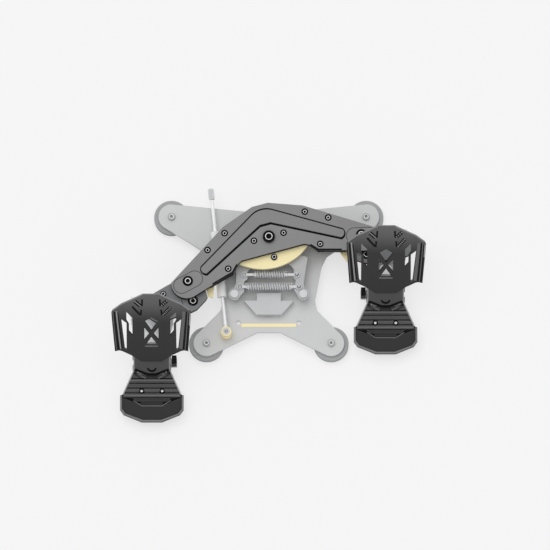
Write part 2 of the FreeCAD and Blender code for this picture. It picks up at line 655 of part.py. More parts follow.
def inlay_outline(upper, lower):
    """The chevron band, grown upwards and downwards by the groove round it."""
    tip = Bend(S.inlay_tip_radius + (upper + lower) / 2)
    half = [
        (S.inlay_bend_x, S.inlay_bend_y + upper),
        (S.inlay_tip_x, -S.inlay_tip_y + upper, tip),
        (S.inlay_low_x, -S.inlay_low_y - lower),
        (S.inlay_flat_x, S.inlay_flat_y - lower),
    ]
    outline = both_sides(half)
    outline[-1] = outline[-1][:2] + (Bend(S.inlay_bend_radius),)
    return outline


def stadium(side, grow=ZERO):
    """The slanted round-ended outline of an end cap: two circles and their outer tangents."""
    radius = S.cap_radius + grow
    run_x, run_y = S.cap_outer_x - S.cap_inner_x, S.cap_inner_y - S.cap_outer_y
    span = Size(
        math.hypot(run_x.number, run_y.number), f"sqrt({run_x.formula}^2 + {run_y.formula}^2)"
    )
    along = (run_x / span, run_y / span)
    across = (-along[1], along[0])
    bend = Bend(radius)

    def spot(centre, forward, left, arc=False):
        x = centre[0] + radius * (along[0] * forward + across[0] * left)
        y = centre[1] + radius * (along[1] * forward + across[1] * left)
        return (x, y, bend) if arc else (x, y)

    inner, outer = (S.cap_inner_x, -S.cap_inner_y), (S.cap_outer_x, -S.cap_outer_y)
    points = [
        spot(inner, 0, 1), spot(outer, 0, 1, True), spot(outer, 1, 0, True),
        spot(outer, 0, -1), spot(inner, 0, -1, True), spot(inner, -1, 0, True),
    ]
    return sided(points, side)


BRACKET_SEAT = S.arm_low - S.big_head_height - 0.2

SMALL_SPOTS = [
    (x * side, y)
    for side in (-1, 1)
    for x, y in (
        (S.screw_a_x, S.screw_a_y), (S.screw_b_x, S.screw_b_y),
        (S.screw_c_x, -S.screw_c_y), (S.screw_d_x, S.screw_d_y),
    )
]


def make_arm_plate():
    plate = new_body("arm_plate")
    pad(plate, "XY_Plane", [arm_outline()], low=S.arm_low, length=S.arm_thick)
    pocket(plate, "XY_Plane", [inlay_outline(S.groove_upper, S.groove_lower)],
           top=ARM_TOP, depth=S.inlay_depth)
    pocket(plate, "XY_Plane", [stadium(side, S.cap_gap) for side in (-1, 1)],
           top=ARM_TOP, depth=S.cap_thick)
    small = [(x, y, S.small_pocket) for x, y in SMALL_SPOTS]
    pocket(plate, "XY_Plane", circles=small, top=ARM_TOP, depth=S.small_head_height)
    holes = [(x, y, S.small_bolt_radius + S.running_gap) for x, y in SMALL_SPOTS]
    holes += [(S.end_screw_x * side, -S.end_screw_y, S.big_bolt_radius + S.running_gap) for side in (-1, 1)]
    holes.append((0, 0, S.centre_bolt_radius + S.running_gap))
    pocket(plate, "XY_Plane", circles=holes)
    keep(plate, ARM)

    inlay = new_body("arm_inlay")
    pad(inlay, "XY_Plane", [inlay_outline(ZERO, ZERO)],
        low=ARM_TOP - S.inlay_depth, length=S.inlay_thick)
    keep(inlay, ARM)

    caps = new_body("end_caps")
    pad(caps, "XY_Plane", [stadium(side) for side in (-1, 1)], low=ARM_TOP - S.cap_thick, length=S.cap_thick)
    bores = [(S.end_screw_x * side, -S.end_screw_y, S.big_pocket) for side in (-1, 1)]
    pocket(caps, "XY_Plane", circles=bores)
    keep(caps, ARM)


def make_cam():
    cam = new_body("cam_plate")
    half = [
        (S.cam_top_x, S.cam_top_y),
        (S.cam_half, -S.cam_side_y, Bend(S.cam_radius)),
    ]
    thick = S.arm_low - S.cam_low
    pad(cam, "XY_Plane", [both_sides(half)], low=S.cam_low, length=thick)
    holes = [(0, 0, S.spigot_radius + S.running_gap), (0, -S.roller_y, S.small_bolt_radius + S.running_gap)]
    holes += [(S.screw_d_x * side, S.screw_d_y, S.small_bolt_radius + S.running_gap) for side in (-1, 1)]
    pocket(cam, "XY_Plane", circles=holes)
    keep(cam, ARM)

    roller = new_body("cam_roller")
    height = S.roller_high - S.roller_low
    wheel = [(0, -S.roller_y, S.roller_radius), (0, -S.roller_y, S.small_bolt_radius + S.running_gap)]
    pad(roller, "XY_Plane", circles=wheel, low=S.roller_low, length=height)
    keep(roller, ARM)


def make_shaft():
    shaft = new_body("pivot_shaft")
    journal = S.shaft_radius - S.running_gap
    pad(shaft, "XY_Plane", circles=[(0, 0, journal)], low=S.shaft_low, length=S.collar_low - S.shaft_low)
    pad(shaft, "XY_Plane", circles=[(0, 0, S.collar_radius)], low=S.collar_low,
        length=S.cam_low - S.collar_low)
    pad(shaft, "XY_Plane", circles=[(0, 0, S.spigot_radius)], low=S.cam_low, length=S.arm_low - S.cam_low)
    depth = S.arm_low - S.centre_bolt_low
    bore = (0, 0, S.centre_bolt_radius + S.running_gap)
    pocket(shaft, "XY_Plane", circles=[bore], top=S.arm_low, depth=depth)
    keep(shaft, ARM)

    magnet = new_body("encoder_magnet")
    pad(magnet, "XY_Plane", circles=[(0, 0, S.magnet_radius)], low=S.shaft_low - S.magnet_thick,
        length=S.magnet_thick)
    keep(magnet, ARM)

    length = ARM_TOP - S.centre_bolt_low - S.seat_gap
    screws("centre_bolt", ARM, [(0, 0, ARM_TOP, length)], S.centre_head_radius, S.centre_head_height,
           S.centre_bolt_radius, S.hex_big)


def make_spars():
    """Blocks under the two limbs that stiffen the plate and take its small screws."""
    spars = new_body("limb_spars")
    margin = S.spar_margin
    limb_fall = (S.knee_y - end_spot(S.end_upper_angle)[1]) / (end_spot(S.end_upper_angle)[0] - S.knee_x)

    def upper_edge(x):
        return S.knee_y - (x - S.knee_x) * limb_fall - margin * 2

    outlines = []
    for side in (-1, 1):
        points = [
            (S.spar_inner, upper_edge(S.spar_inner)),
            (S.spar_outer, upper_edge(S.spar_outer)),
            (S.spar_outer, -S.heel_y),
            (S.heel_x, -S.heel_y + margin),
            (S.belly_x, -S.belly_y + margin),
            (S.chin_x, -S.chin_y + margin),
            (S.spar_inner, -S.throat_y),
        ]
        outlines.append(sided(points, side))
    pad(spars, "XY_Plane", outlines, low=S.spar_low, length=S.arm_low - S.spar_low)
    holes = [(x, y, S.small_bolt_radius + S.running_gap) for x, y in SMALL_SPOTS]
    spar_holes = [hole for hole in holes if abs(hole[0].number) > S.spar_inner.number]
    pocket(spars, "XY_Plane", circles=spar_holes)
    keep(spars, ARM)


def make_brackets():
    """Brackets under the ends of the arm, and the carriers bolted to them that hold the pedals."""
    brackets = new_body("end_brackets")
    outlines = []
    for side in (-1, 1):
        points = [
            (S.bracket_nose_x + 2, -S.bracket_nose_top),
            (S.bracket_nose_x + 14, -S.bracket_back_y),
            (S.bracket_seam, -S.bracket_back_y),
            (S.bracket_seam, -S.bracket_front_y),
            (S.bracket_chin_x + 10, -S.bracket_front_y),
            (S.bracket_chin_x, -S.bracket_chin_y),
            (S.bracket_nose_x + 3.5, -S.bracket_nose_low - 2.5),
            (S.bracket_nose_x, -S.bracket_nose_low + 1),
            (S.bracket_nose_x, -S.bracket_nose_top - 10),
        ]
        outlines.append(sided(points, side))
    pad(brackets, "XY_Plane", outlines, low=S.bracket_low, length=S.arm_low - S.bracket_low)
    bolt_bore = S.big_bolt_radius + S.running_gap
    rows = (-S.end_screw_y, -S.bracket_screw_y)
    pocket(brackets, "XY_Plane",
           circles=[(S.end_screw_x * side, y, bolt_bore) for side in (-1, 1) for y in rows])
    wells = [(S.end_screw_x * side, -S.bracket_screw_y, S.big_pocket) for side in (-1, 1)]
    pocket(brackets, "XY_Plane", circles=wells, top=S.arm_low, depth=S.arm_low - BRACKET_SEAT)
    keep(brackets, ARM)

    carriers = new_body("pedal_carriers")
    plates, tongues = [], []
    seam = S.bracket_seam + S.seam_gap
    for side in (-1, 1):
        plate = [
            (seam, -S.bracket_back_y),
            (S.carrier_rib_x, -S.carrier_rib_y),
            (S.carrier_outer, -S.carrier_back_y - S.carrier_corner),
            (S.carrier_outer, -S.carrier_front_y + S.carrier_corner),
            (S.carrier_outer - S.carrier_corner, -S.carrier_front_y),
            (seam, -S.bracket_front_y),
        ]
        plates.append(sided(plate, side))
        tongue = [
            (S.tongue_inner, -S.tongue_back_y), (S.tongue_outer, -S.tongue_back_y),
            (S.tongue_outer, -S.tongue_front_y), (S.tongue_inner, -S.tongue_front_y),
        ]
        tongues.append(sided(tongue, side))
    pad(carriers, "XY_Plane", plates, low=S.bracket_low, length=S.arm_low - S.bracket_low)
    pad(carriers, "XY_Plane", tongues, low=S.tongue_low, length=S.bracket_low - S.tongue_low)
    bores = [(S.swivel_x * side, -S.swivel_y, S.swivel_radius + S.running_gap) for side in (-1, 1)]
    bores += [(S.end_screw_x * side, -S.bracket_screw_y, bolt_bore) for side in (-1, 1)]
    spots = [(S.carrier_screw_x * side, y) for side in (-1, 1)
             for y in (-S.carrier_screw_back, -S.carrier_screw_front)]
    bores += [(x, y, S.small_bolt_radius + S.running_gap) for x, y in spots]
    pocket(carriers, "XY_Plane", circles=bores)
    keep(carriers, ARM)

    blocks = new_body("end_blocks")
    outlines = []
    for side in (-1, 1):
        points = [
            (S.block_inner, -S.block_back), (S.block_outer, -S.block_back),
            (S.block_outer, -S.block_front), (S.block_tip, -S.block_front - S.block_slant),
            (S.block_inner, -S.block_shoulder),
        ]
        outlines.append(sided(points, side))
    pad(blocks, "XY_Plane", outlines, low=S.block_low, length=S.spar_low - S.block_low)
    keep(blocks, ARM)
    return spots


def make_arm_screws(carrier_spots):
    seat = ARM_TOP - S.small_head_height
    spots = [(x, y, seat, seat - S.cam_low - 1) for x, y in SMALL_SPOTS]
    spots += [(x, y, S.arm_low, S.arm_low - S.bracket_low - 1) for x, y in carrier_spots]
    clip_low = S.roller_low - S.seat_gap - S.clip_thick
    spots.append((ZERO, -S.roller_y, S.arm_low, S.arm_low - clip_low))
    group = screws("arm_screws", ARM, spots, S.small_head_radius, S.small_head_height,
                   S.small_bolt_radius, S.hex_small)
    disk = disc(0, -S.roller_y, S.clip_radius, clip_low, S.clip_thick, "clip_disc")
    hole = disc(0, -S.roller_y, S.small_bolt_radius, clip_low - 1, S.clip_thick + 2, "clip_hole")
    group.Links = group.Links + [combine("Cut", "roller_clip", disk, hole)]
    cap_floor = ARM_TOP - S.cap_thick
    spots = []
    for side in (-1, 1):
        x = S.end_screw_x * side
        spots.append((x, -S.end_screw_y, cap_floor, cap_floor - S.bracket_low - S.seat_gap))
        spots.append((x, -S.bracket_screw_y, BRACKET_SEAT, BRACKET_SEAT - S.tongue_low - S.seat_gap))
    screws("end_screws", ARM, spots, S.big_head_radius, S.big_head_height, S.big_bolt_radius, S.hex_big)

    pin = new_body("damper_trunnion")
    spot = (-S.trunnion_x, -S.trunnion_y, S.trunnion_radius)
    pad(pin, "XY_Plane", circles=[spot], low=S.trunnion_low, length=S.spar_low - S.trunnion_low)
    keep(pin, ARM)


# Jaws and the two springs that pull them together

def jaw_angle(side):
    """At rest the left jaw lies closed and the roller holds the right one open."""
    return ZERO if side < 0 else -S.jaw_open


def jaw_frame(side):
    angle = jaw_angle(side) if side > 0 else None
    return Frame(S.jaw_x * side, PIVOT_Y - S.jaw_y, 0, turn=angle)


def hook_spot(side, hook_x, hook_y):
    """Where a spring pin of a jaw stands at rest, from the swing axis."""
    x, y = (hook_x - S.jaw_x) * side, S.jaw_y - hook_y
    turn_cos, turn_sin = cosine(jaw_angle(side)), sine(jaw_angle(side))
    return S.jaw_x * side + x * turn_cos - y * turn_sin, x * turn_sin + y * turn_cos - S.jaw_y


def make_jaw(side):
    jaw = new_body(f"{SIDE_NAMES[side]}_jaw")
    reach = S.jaw_x - S.jaw_face
    bar_outer = S.jaw_x - S.jaw_bar_x - S.jaw_bar_half
    nose_low = S.jaw_y - S.roller_y - S.roller_radius + 1
    top = S.jaw_y - S.jaw_top_y + 1
    ear = S.jaw_x - S.upper_hook_x + 5
    low_ear = S.jaw_x - S.lower_hook_x + S.ear_reach
    hook_row = S.jaw_y - S.upper_spring_y
    points = [
        (-S.jaw_hub * 0.7, -S.jaw_hub * 0.6), (bar_outer, hook_row * 0.6), (bar_outer, top - 3),
        (bar_outer + 3, top), (reach, top), (reach, nose_low), (ear + 5, hook_row + 11),
        (ear, hook_row + 6), (ear, hook_row - 5), (low_ear, hook_row - 9), (low_ear, 4),
        (S.jaw_hub * 0.6, -S.jaw_hub * 0.7),
    ]
    pad(jaw, "XY_Plane", [sided(points, -side)], low=S.jaw_low, length=S.jaw_thick)
    pad(jaw, "XY_Plane", circles=[(0, 0, S.jaw_hub)], low=S.jaw_low, length=S.jaw_thick)
    pins = [
        ((S.jaw_x - hook) * -side, S.jaw_y - row, S.hook_radius)
        for hook, row in ((S.upper_hook_x, S.upper_spring_y), (S.lower_hook_x, S.lower_spring_y))
    ]
    pad(jaw, "XY_Plane", circles=pins, low=S.jaw_low, length=S.jaw_thick + S.hook_height)
    bore = S.jaw_bolt_radius + S.running_gap
    pocket(jaw, "XY_Plane", circles=[(0, 0, bore)])
    keep(jaw, jaw_frame(side))


def helix_path(radius, length, turns):
    """A helix along X as pairs of arcs, two to each half turn, tangent all the way."""
    steps = turns * 2
    pitch = length / turns

    def spot(index):
        angle = math.pi * index
        x = -length / 2 + pitch * index / 2
        return FreeCAD.Vector(x, radius * math.cos(angle), radius * math.sin(angle))

    def heading(index):
        angle = math.pi * index
        run = 2 * math.pi * radius
        return FreeCAD.Vector(pitch, -run * math.sin(angle), run * math.cos(angle)).normalize()

    def arc(first, corner, last):
        middle = (first + last) * 0.5
        outward = corner - middle
        half = first.distanceToPoint(middle)
        rise = half * math.tan(math.atan2(outward.Length, half) / 2)
        return Part.Arc(first, middle + outward.normalize() * rise, last).toShape()

    edges = []
    for index in range(steps):
        for quarter in (0, 1):
            here, there = index + quarter / 2, index + (quarter + 1) / 2
            first, last = spot(here), spot(there)
            forward, arriving = heading(here), heading(there)
            chord = last - first
            lead = chord.dot(forward + arriving)
            square = 4 - (forward + arriving).dot(forward + arriving)
            reach = (-2 * lead + math.sqrt(4 * lead**2 + 4 * square * chord.dot(chord))) / (2 * square)
            corner_a, corner_b = first + forward * reach, last - arriving * reach
            joint = (corner_a + corner_b) * 0.5
            edges.append(arc(first, corner_a, joint))
            edges.append(arc(joint, corner_b, last))
    return Part.Wire(edges)


def coil_gap(radius, length, turns, wire):
    """The least gap between turns, from points along the wire at least half a turn apart."""
    per_turn = 24
    spots = []
    for index in range(turns * per_turn + 1):
        angle = 2 * math.pi * index / per_turn
        x = length * index / (turns * per_turn)
        spots.append(FreeCAD.Vector(x, radius * math.cos(angle), radius * math.sin(angle)))
    return min(
        spots[index].distanceToPoint(other)
        for index in range(min(per_turn, len(spots)))
        for other in spots[index + per_turn // 2:]
    ) - 2 * wire


def make_spring(name, row, hook_x, half, turns):
    left = hook_spot(-1, hook_x, row)
    right = hook_spot(1, hook_x, row)
    middle_x, middle_y = (left[0] + right[0]) / 2, (left[1] + right[1]) / 2
    frame = Frame(middle_x, PIVOT_Y + middle_y, S.spring_z)
    turns = int(turns.number)
    length = half.number * 2 - S.spring_wire.number * 2
    path = helix_path(S.spring_mean.number, length, turns)
    start = path.Edges[0]
    section = Part.Wire(
        Part.Circle(start.valueAt(start.FirstParameter), start.tangentAt(start.FirstParameter),
                    S.spring_wire.number).toShape()
    )
    shell = Part.BRepOffsetAPI.MakePipeShell(path)
    shell.add(section)
    shell.build()
    shell.makeSolid()
    coil = doc.addObject("Part::Feature", f"{name}_spring")
    coil.Label = f"{name}_spring"
    coil.Shape = shell.shape()
    keep(coil, frame)
    expected = math.pi * S.spring_wire.number**2 * path.Length
    gap = coil_gap(S.spring_mean.number, length, turns, S.spring_wire.number)
    print(f"{name} spring: volume {coil.Shape.Volume:.1f} of {expected:.1f}, least gap {gap:.2f}")

    eyes = new_body(f"{name}_spring_eyes")
    span = (right[0] - left[0]) / 2
    eye_low = -S.eye_thick / 2
    for side in (-1, 1):
        pad(eyes, "XY_Plane", circles=[(span * side, 0, S.eye_radius)], low=eye_low, length=S.eye_thick)
        low_x, high_x = half + 0.5, span - S.eye_radius * 0.6
        outline = rectangle(low_x, high_x, -S.plug_radius * 0.6, S.plug_radius * 0.6)
        pad(eyes, "XY_Plane", [sided(outline, side)], low=eye_low, length=S.eye_thick)
        start = half - S.plug_length if side > 0 else -half - 1
        pad(eyes, "YZ_Plane", circles=[(0, 0, S.plug_radius)], low=start, length=S.plug_length + 1)
    pocket(eyes, "XY_Plane", circles=[(span * side, 0, S.eye_hole) for side in (-1, 1)])
    keep(eyes, frame)


# Damper: a rod fixed to the base at the front, and the cylinder that the arm pulls along it

def along_rod(name, radius, start, length):
    item = doc.addObject("Part::Cylinder", name)
    for prop, size in {"Radius": radius, "Height": length}.items():
        size = as_size(size)
        setattr(item, prop, size.number)
        item.setExpression(prop, size.formula)
    Frame(0, start, 0, lean=as_size(-90)).place(item)
    return item


def combine(kind, label, base, tool):
    item = doc.addObject(f"Part::{kind}", label)
    item.Label = label
    item.Base, item.Tool = base, tool
    return item


def make_damper():
    eye = disc(0, 0, S.damper_eye_radius, -S.damper_eye_thick / 2, S.damper_eye_thick, "rod_eye")
    start = S.damper_eye_radius * 0.8
    rod = along_rod("rod_bar", S.damper_rod_radius, start, S.damper_rod_length - start)
    blank = combine("Fuse", "rod_blank", eye, rod)
    bore = disc(0, 0, S.damper_bolt_radius + S.running_gap, -S.damper_eye_thick, S.damper_eye_thick * 2,
                "rod_bore")
    keep(combine("Cut", "damper_rod", blank, bore), DAMPER)

    tube = along_rod("cylinder_tube", S.body_radius, S.body_start, S.body_length)
    trunnion = swung(-S.trunnion_x, -S.trunnion_y)
    offset_x, offset_y = trunnion[0] + S.damper_x, trunnion[1] + S.damper_y
    turn_cos, turn_sin = cosine(S.damper_angle), sine(S.damper_angle)
    lug_x = offset_x * turn_cos + offset_y * turn_sin
    lug_y = offset_y * turn_cos - offset_x * turn_sin
    lug = new_body("cylinder_lug")
    lug_top = S.body_radius + S.lug_height
    half_x, half_y = S.lug_half_x, S.lug_half_y
    outline = rectangle(lug_x - half_x, lug_x + half_x, lug_y - half_y, lug_y + half_y)
    pad(lug, "XY_Plane", [outline], low=S.body_radius / 2, length=lug_top - S.body_radius / 2)
    blank = combine("Fuse", "cylinder_blank", tube, lug)
    slot = new_body("cylinder_slot")
    gap = S.trunnion_radius + S.seat_gap
    reach = gap + S.trunnion_slot
    outline = rectangle(lug_x - reach, lug_x + reach, lug_y - gap, lug_y + gap)
    pad(slot, "XY_Plane", [outline], low=S.trunnion_low - S.damper_z - S.seat_gap, length=lug_top)
    slotted = combine("Cut", "cylinder_slotted", blank, slot)
    bore = along_rod("cylinder_bore", S.damper_rod_radius + S.body_wall_gap, S.body_start - 1,
                     S.body_length + 2)
    keep(combine("Cut", "damper_cylinder", slotted, bore), DAMPER)

    knob = along_rod("knob_blank", S.knob_radius, S.knob_start, S.knob_length)
    socket = along_rod("knob_socket", S.damper_rod_radius + S.running_gap, S.knob_start - 1,
                       S.damper_rod_length - S.knob_start + 1 + S.seat_gap)
    keep(combine("Cut", "damper_knob", knob, socket), DAMPER)

    spot = (-S.damper_x, -S.damper_y)
    eye_low = S.damper_z - S.damper_eye_thick / 2
    boss = disc(*spot, S.damper_boss_radius, PLATE_TOP, eye_low - PLATE_TOP - S.seat_gap, "boss")
    head_low = eye_low + S.damper_eye_thick + S.seat_gap
    shank = disc(*spot, S.damper_bolt_radius, PLATE_TOP, head_low - PLATE_TOP, "boss_shank")
    head = disc(*spot, S.damper_head_radius, head_low, S.damper_head_height, "boss_head")
    bolt = doc.addObject("Part::MultiFuse", "damper_bolt")
    bolt.Label = "damper_bolt"
    bolt.Shapes = [boss, shank, head]
    keep(bolt, BASE)


# Pedals: swivel head, slide rods, frame, heel rest, brake and toe plate

def make_head(side):
    """The block that slides on the rods, with a plate that carries its pin out over the cheek."""
    head = new_body(f"{SIDE_NAMES[side]}_swivel_head")
    block = rectangle(-S.head_shift - S.head_half_x, -S.head_shift + S.head_half_x, -S.head_half_y,
                      S.head_half_y)
    pad(head, "XY_Plane", [sided(block, side)], low=S.head_low, length=S.head_top - S.head_low)
    plate = rectangle(-S.head_shift, 0, -S.head_plate_half_y, S.head_plate_half_y)
    plate_thick = S.head_top - S.head_plate_low
    pad(head, "XY_Plane", [sided(plate, side)], low=S.head_plate_low, length=plate_thick)
    pad(head, "XY_Plane", circles=[(0, 0, S.head_plate_half_y)], low=S.head_plate_low, length=plate_thick)
    pad(head, "XY_Plane", circles=[(0, 0, S.swivel_radius)], low=S.head_plate_low,
        length=S.swivel_pin_top - S.head_plate_low)
    bores = [(S.rod_spread * way, S.rod_z, S.rod_radius + S.running_gap) for way in (-1, 1)]
    pocket(head, "YZ_Plane", circles=bores)
    keep(head, head_frame(side))

    rods = new_body(f"{SIDE_NAMES[side]}_slide_rods")
    circles = [(S.rod_spread * way, S.rod_z, S.rod_radius) for way in (-1, 1)]
    pad(rods, "YZ_Plane", circles=circles, length=S.rod_half * 2, middle=True)
    keep(rods, pedal_frame(side))


def make_frame(side):
    frame = new_body(f"{SIDE_NAMES[side]}_pedal_frame")
    low, high = S.pan_low, S.pan_low + S.pan_thick
    profile = [
        (S.pan_rear, low), (S.pan_rear, high), (-S.slope_rear, high), (-S.slope_front, high - S.pan_drop),
        (-S.pan_front, high - S.pan_drop), (-S.pan_front, low - S.pan_drop),
        (-S.slope_front, low - S.pan_drop), (-S.slope_rear, low),
    ]
    shelf = S.sensor_x + S.sensor_width + S.shelf_gap
    far = shelf + S.cheek_thick
    pad(frame, "YZ_Plane", [profile], length=far * 2, middle=True)
    beyond = far + S.cheek_thick
    waste = [
        (beyond, -S.pan_front - S.pan_thick), (beyond, S.pan_rear + S.pan_thick),
        (S.frame_half, S.pan_rear + S.pan_thick), (S.frame_half, -S.cheek_half_y - S.ear_radius),
        (S.neck_half, -S.pan_waist_y - S.ear_radius),
    ]
    rest = [
        (S.neck_half, -S.sensor_rear + S.shelf_gap), (shelf, -S.sensor_rear + S.shelf_gap),
        (shelf, -S.sensor_front - S.shelf_gap), (S.neck_half, -S.sensor_front - S.shelf_gap),
    ]
    last = (S.neck_half, -S.pan_front - S.pan_thick)
    pocket(frame, "XY_Plane", [sided(waste + rest + [last], -side), sided(waste + [last], side)])
    cheek = rectangle(-S.cheek_half_y, S.cheek_half_y, S.pan_low, S.cheek_top)
    for start in (-S.frame_half, S.frame_half - S.cheek_thick):
        pad(frame, "YZ_Plane", [cheek], low=start, length=S.cheek_thick)
    pan_top = high - S.pan_drop
    ear = [
        (-S.brake_offset - S.ear_radius, pan_top - S.pan_thick / 2),
        (-S.brake_offset + S.ear_radius, pan_top - S.pan_thick / 2),
        (-S.brake_offset + S.ear_radius, S.brake_z, Bend(S.ear_radius, -1)),
        (-S.brake_offset, S.brake_z + S.ear_radius, Bend(S.ear_radius, -1)),
        (-S.brake_offset - S.ear_radius, S.brake_z),
    ]
    for start in (-S.ear_outer, S.ear_inner):
        pad(frame, "YZ_Plane", [ear], low=start, length=S.ear_outer - S.ear_inner)
    rods = [(S.rod_spread * way, S.rod_z, S.rod_radius + S.running_gap) for way in (-1, 1)]
    pin = (-S.brake_offset, S.brake_z, S.brake_pin_radius + S.running_gap)
    pocket(frame, "YZ_Plane", circles=rods + [pin])
    bolts = [(S.heel_screw_x * way, -S.heel_screw_y, S.heel_bolt_radius + S.running_gap) for way in (-1, 1)]
    pocket(frame, "XY_Plane", circles=bolts)
    keep(frame, pedal_frame(side))


def make_heel(side):
    heel = new_body(f"{SIDE_NAMES[side]}_heel_rest")
    lip_rear = S.heel_mid + S.heel_step
    half = [
        (S.heel_rear_half, -S.heel_rear), (S.heel_mid_half, -S.heel_mid), (S.heel_lip_half, -lip_rear),
        (S.heel_lip_half, -HEEL_LIP), (S.heel_corner_half, -HEEL_CORNER), (S.heel_front_half, -HEEL_FRONT),
    ]
    pad(heel, "XY_Plane", [both_sides(half)], low=S.heel_seat, length=S.heel_thick)
    top = S.heel_seat + S.heel_thick
    slope = (S.heel_mid_half - S.heel_rear_half) / (S.heel_mid - S.heel_rear)
    ribs = []
    for index in range(int(S.rib_count.number)):
        rear = S.rib_start + S.rib_pitch * index
        front = rear + S.rib_width
        rear_half = S.heel_rear_half + slope * (rear - S.heel_rear) - S.heel_edge
        front_half = S.heel_rear_half + slope * (front - S.heel_rear) - S.heel_edge
        ribs.append([(-front_half, -front), (front_half, -front), (rear_half, -rear), (-rear_half, -rear)])
    rear = S.rib_start + S.rib_pitch * S.rib_count
    front = rear + S.last_rib_width
    ribs.append([
        (-S.last_rib_half + S.last_rib_width, -front), (S.last_rib_half - S.last_rib_width, -front),
        (S.last_rib_half, -rear), (-S.last_rib_half, -rear),
    ])
    pad(heel, "XY_Plane", ribs, low=top, length=S.rib_height)
    rim = S.heel_rim
    inner = [
        (S.heel_front_half - rim / 2, -HEEL_FRONT + rim), (S.heel_corner_half - rim, -HEEL_CORNER + rim / 2),
        (S.heel_lip_half - rim, -HEEL_LIP + rim / 2), (S.heel_lip_half - rim, -lip_rear),
    ]
    outer = [
        (S.heel_lip_half, -lip_rear), (S.heel_lip_half, -HEEL_LIP),
        (S.heel_corner_half, -HEEL_CORNER), (S.heel_front_half, -HEEL_FRONT),
    ]
    left_inner = [(-as_size(x), y) for x, y in inner]
    left_outer = [(-as_size(x), y) for x, y in outer]
    ring = inner + outer + left_outer[::-1] + left_inner[::-1]
    pad(heel, "XY_Plane", [ring], low=top, length=S.heel_rim_height)
    dish = [
        (S.dish_floor_half, -S.heel_mid - S.dish_floor_run),
        (S.dish_bend_half, -S.heel_mid - S.dish_bend_run),
        (S.heel_lip_half - rim / 2, -S.heel_mid - S.dish_side_run),
        (S.heel_lip_half - rim / 2, -HEEL_LIP + rim / 2),
        (S.heel_corner_half - rim / 2, -HEEL_CORNER + rim / 2), (S.heel_front_half, -HEEL_FRONT + rim / 2),
    ]
    left_dish = [(-as_size(x), y) for x, y in dish]
    pad(heel, "XY_Plane", [dish + left_dish[::-1]], low=top, length=S.rib_height)
    bolts = [(S.heel_screw_x * way, -S.heel_screw_y, S.heel_bolt_radius + S.running_gap) for way in (-1, 1)]
    pocket(heel, "XY_Plane", circles=bolts)
    wells = [(x, y, S.heel_head_radius + S.shelf_gap) for x, y, _radius in bolts]
    pocket(heel, "XY_Plane", circles=wells, top=top + S.rib_height, depth=S.rib_height)
    keep(heel, pedal_frame(side))
    length = top - S.pan_low + S.pan_drop
    spots = [(S.heel_screw_x * way, -S.heel_screw_y, top, length) for way in (-1, 1)]
    screws(f"{SIDE_NAMES[side]}_heel_screws", pedal_frame(side), spots, S.heel_head_radius,
           S.heel_head_height, S.heel_bolt_radius, S.hex_small)


def make_sensor(side):
    sensor = new_body(f"{SIDE_NAMES[side]}_brake_sensor")
    outline = rectangle(S.sensor_x, S.sensor_x + S.sensor_width, -S.sensor_front, -S.sensor_rear)
    low = S.pan_low + S.pan_thick - S.pan_drop
    pad(sensor, "XY_Plane", [sided(outline, -side)], low=low, length=S.sensor_top - low)
    keep(sensor, pedal_frame(side))


def make_brake(side):
    """The brake cylinder behind the toe plate and the plunger that the neck pushes into it."""
    name = SIDE_NAMES[side]
    rise_cos, rise_sin = cosine(S.cylinder_rise), sine(S.cylinder_rise)

    def slanted(label, radius, start, length, tip=None):
        kind = "Part::Cylinder" if tip is None else "Part::Cone"
        item = doc.addObject(kind, label)
        sizes = {"Height": length}
        if tip is None:
            sizes["Radius"] = radius
        else:
            sizes["Radius1"], sizes["Radius2"] = radius, tip
        for prop, size in sizes.items():
            setattr(item, prop, as_size(size).number)
            item.setExpression(prop, as_size(size).formula)
        y = -S.cylinder_y - start * rise_cos
        z = S.cylinder_z + start * rise_sin
        Frame(0, y, z, lean=as_size(90) - S.cylinder_rise).place(item)
        return item

    tube = slanted(f"{name}_tube", S.cylinder_radius, S.cylinder_start, S.cylinder_length)
    foot = new_body(f"{name}_foot")
    outline = rectangle(-S.cylinder_foot_half, S.cylinder_foot_half, -S.cylinder_foot_front,
                        -S.cylinder_foot_rear)
    pan_top = S.pan_low + S.pan_thick
    pad(foot, "XY_Plane", [outline], low=pan_top, length=S.cylinder_foot_top - pan_top)
    blank = combine("Fuse", f"{name}_cylinder_blank", tube, foot)
    bore_start = S.cylinder_start + S.cylinder_wall
    bore = slanted(f"{name}_bore", S.cylinder_bore, bore_start, S.cylinder_length)
    keep(combine("Cut", f"{name}_brake_cylinder", blank, bore), pedal_frame(side))

    piston_radius = S.cylinder_bore - 0.1
    piston = slanted(f"{name}_piston", piston_radius, S.plunger_start, S.plunger_piston)
    stem_start = S.plunger_start + S.plunger_piston
    tip_start = S.plunger_end - S.plunger_tip
    stem = slanted(f"{name}_stem", S.plunger_radius, stem_start - 1, tip_start - stem_start + 1)
    tip = slanted(f"{name}_tip", S.plunger_radius, tip_start, S.plunger_tip, S.plunger_tip_radius)
    plunger = doc.addObject("Part::MultiFuse", f"{name}_brake_plunger")
    plunger.Label = f"{name}_brake_plunger"
    plunger.Shapes = [piston, stem, tip]
    keep(plunger, pedal_frame(side))


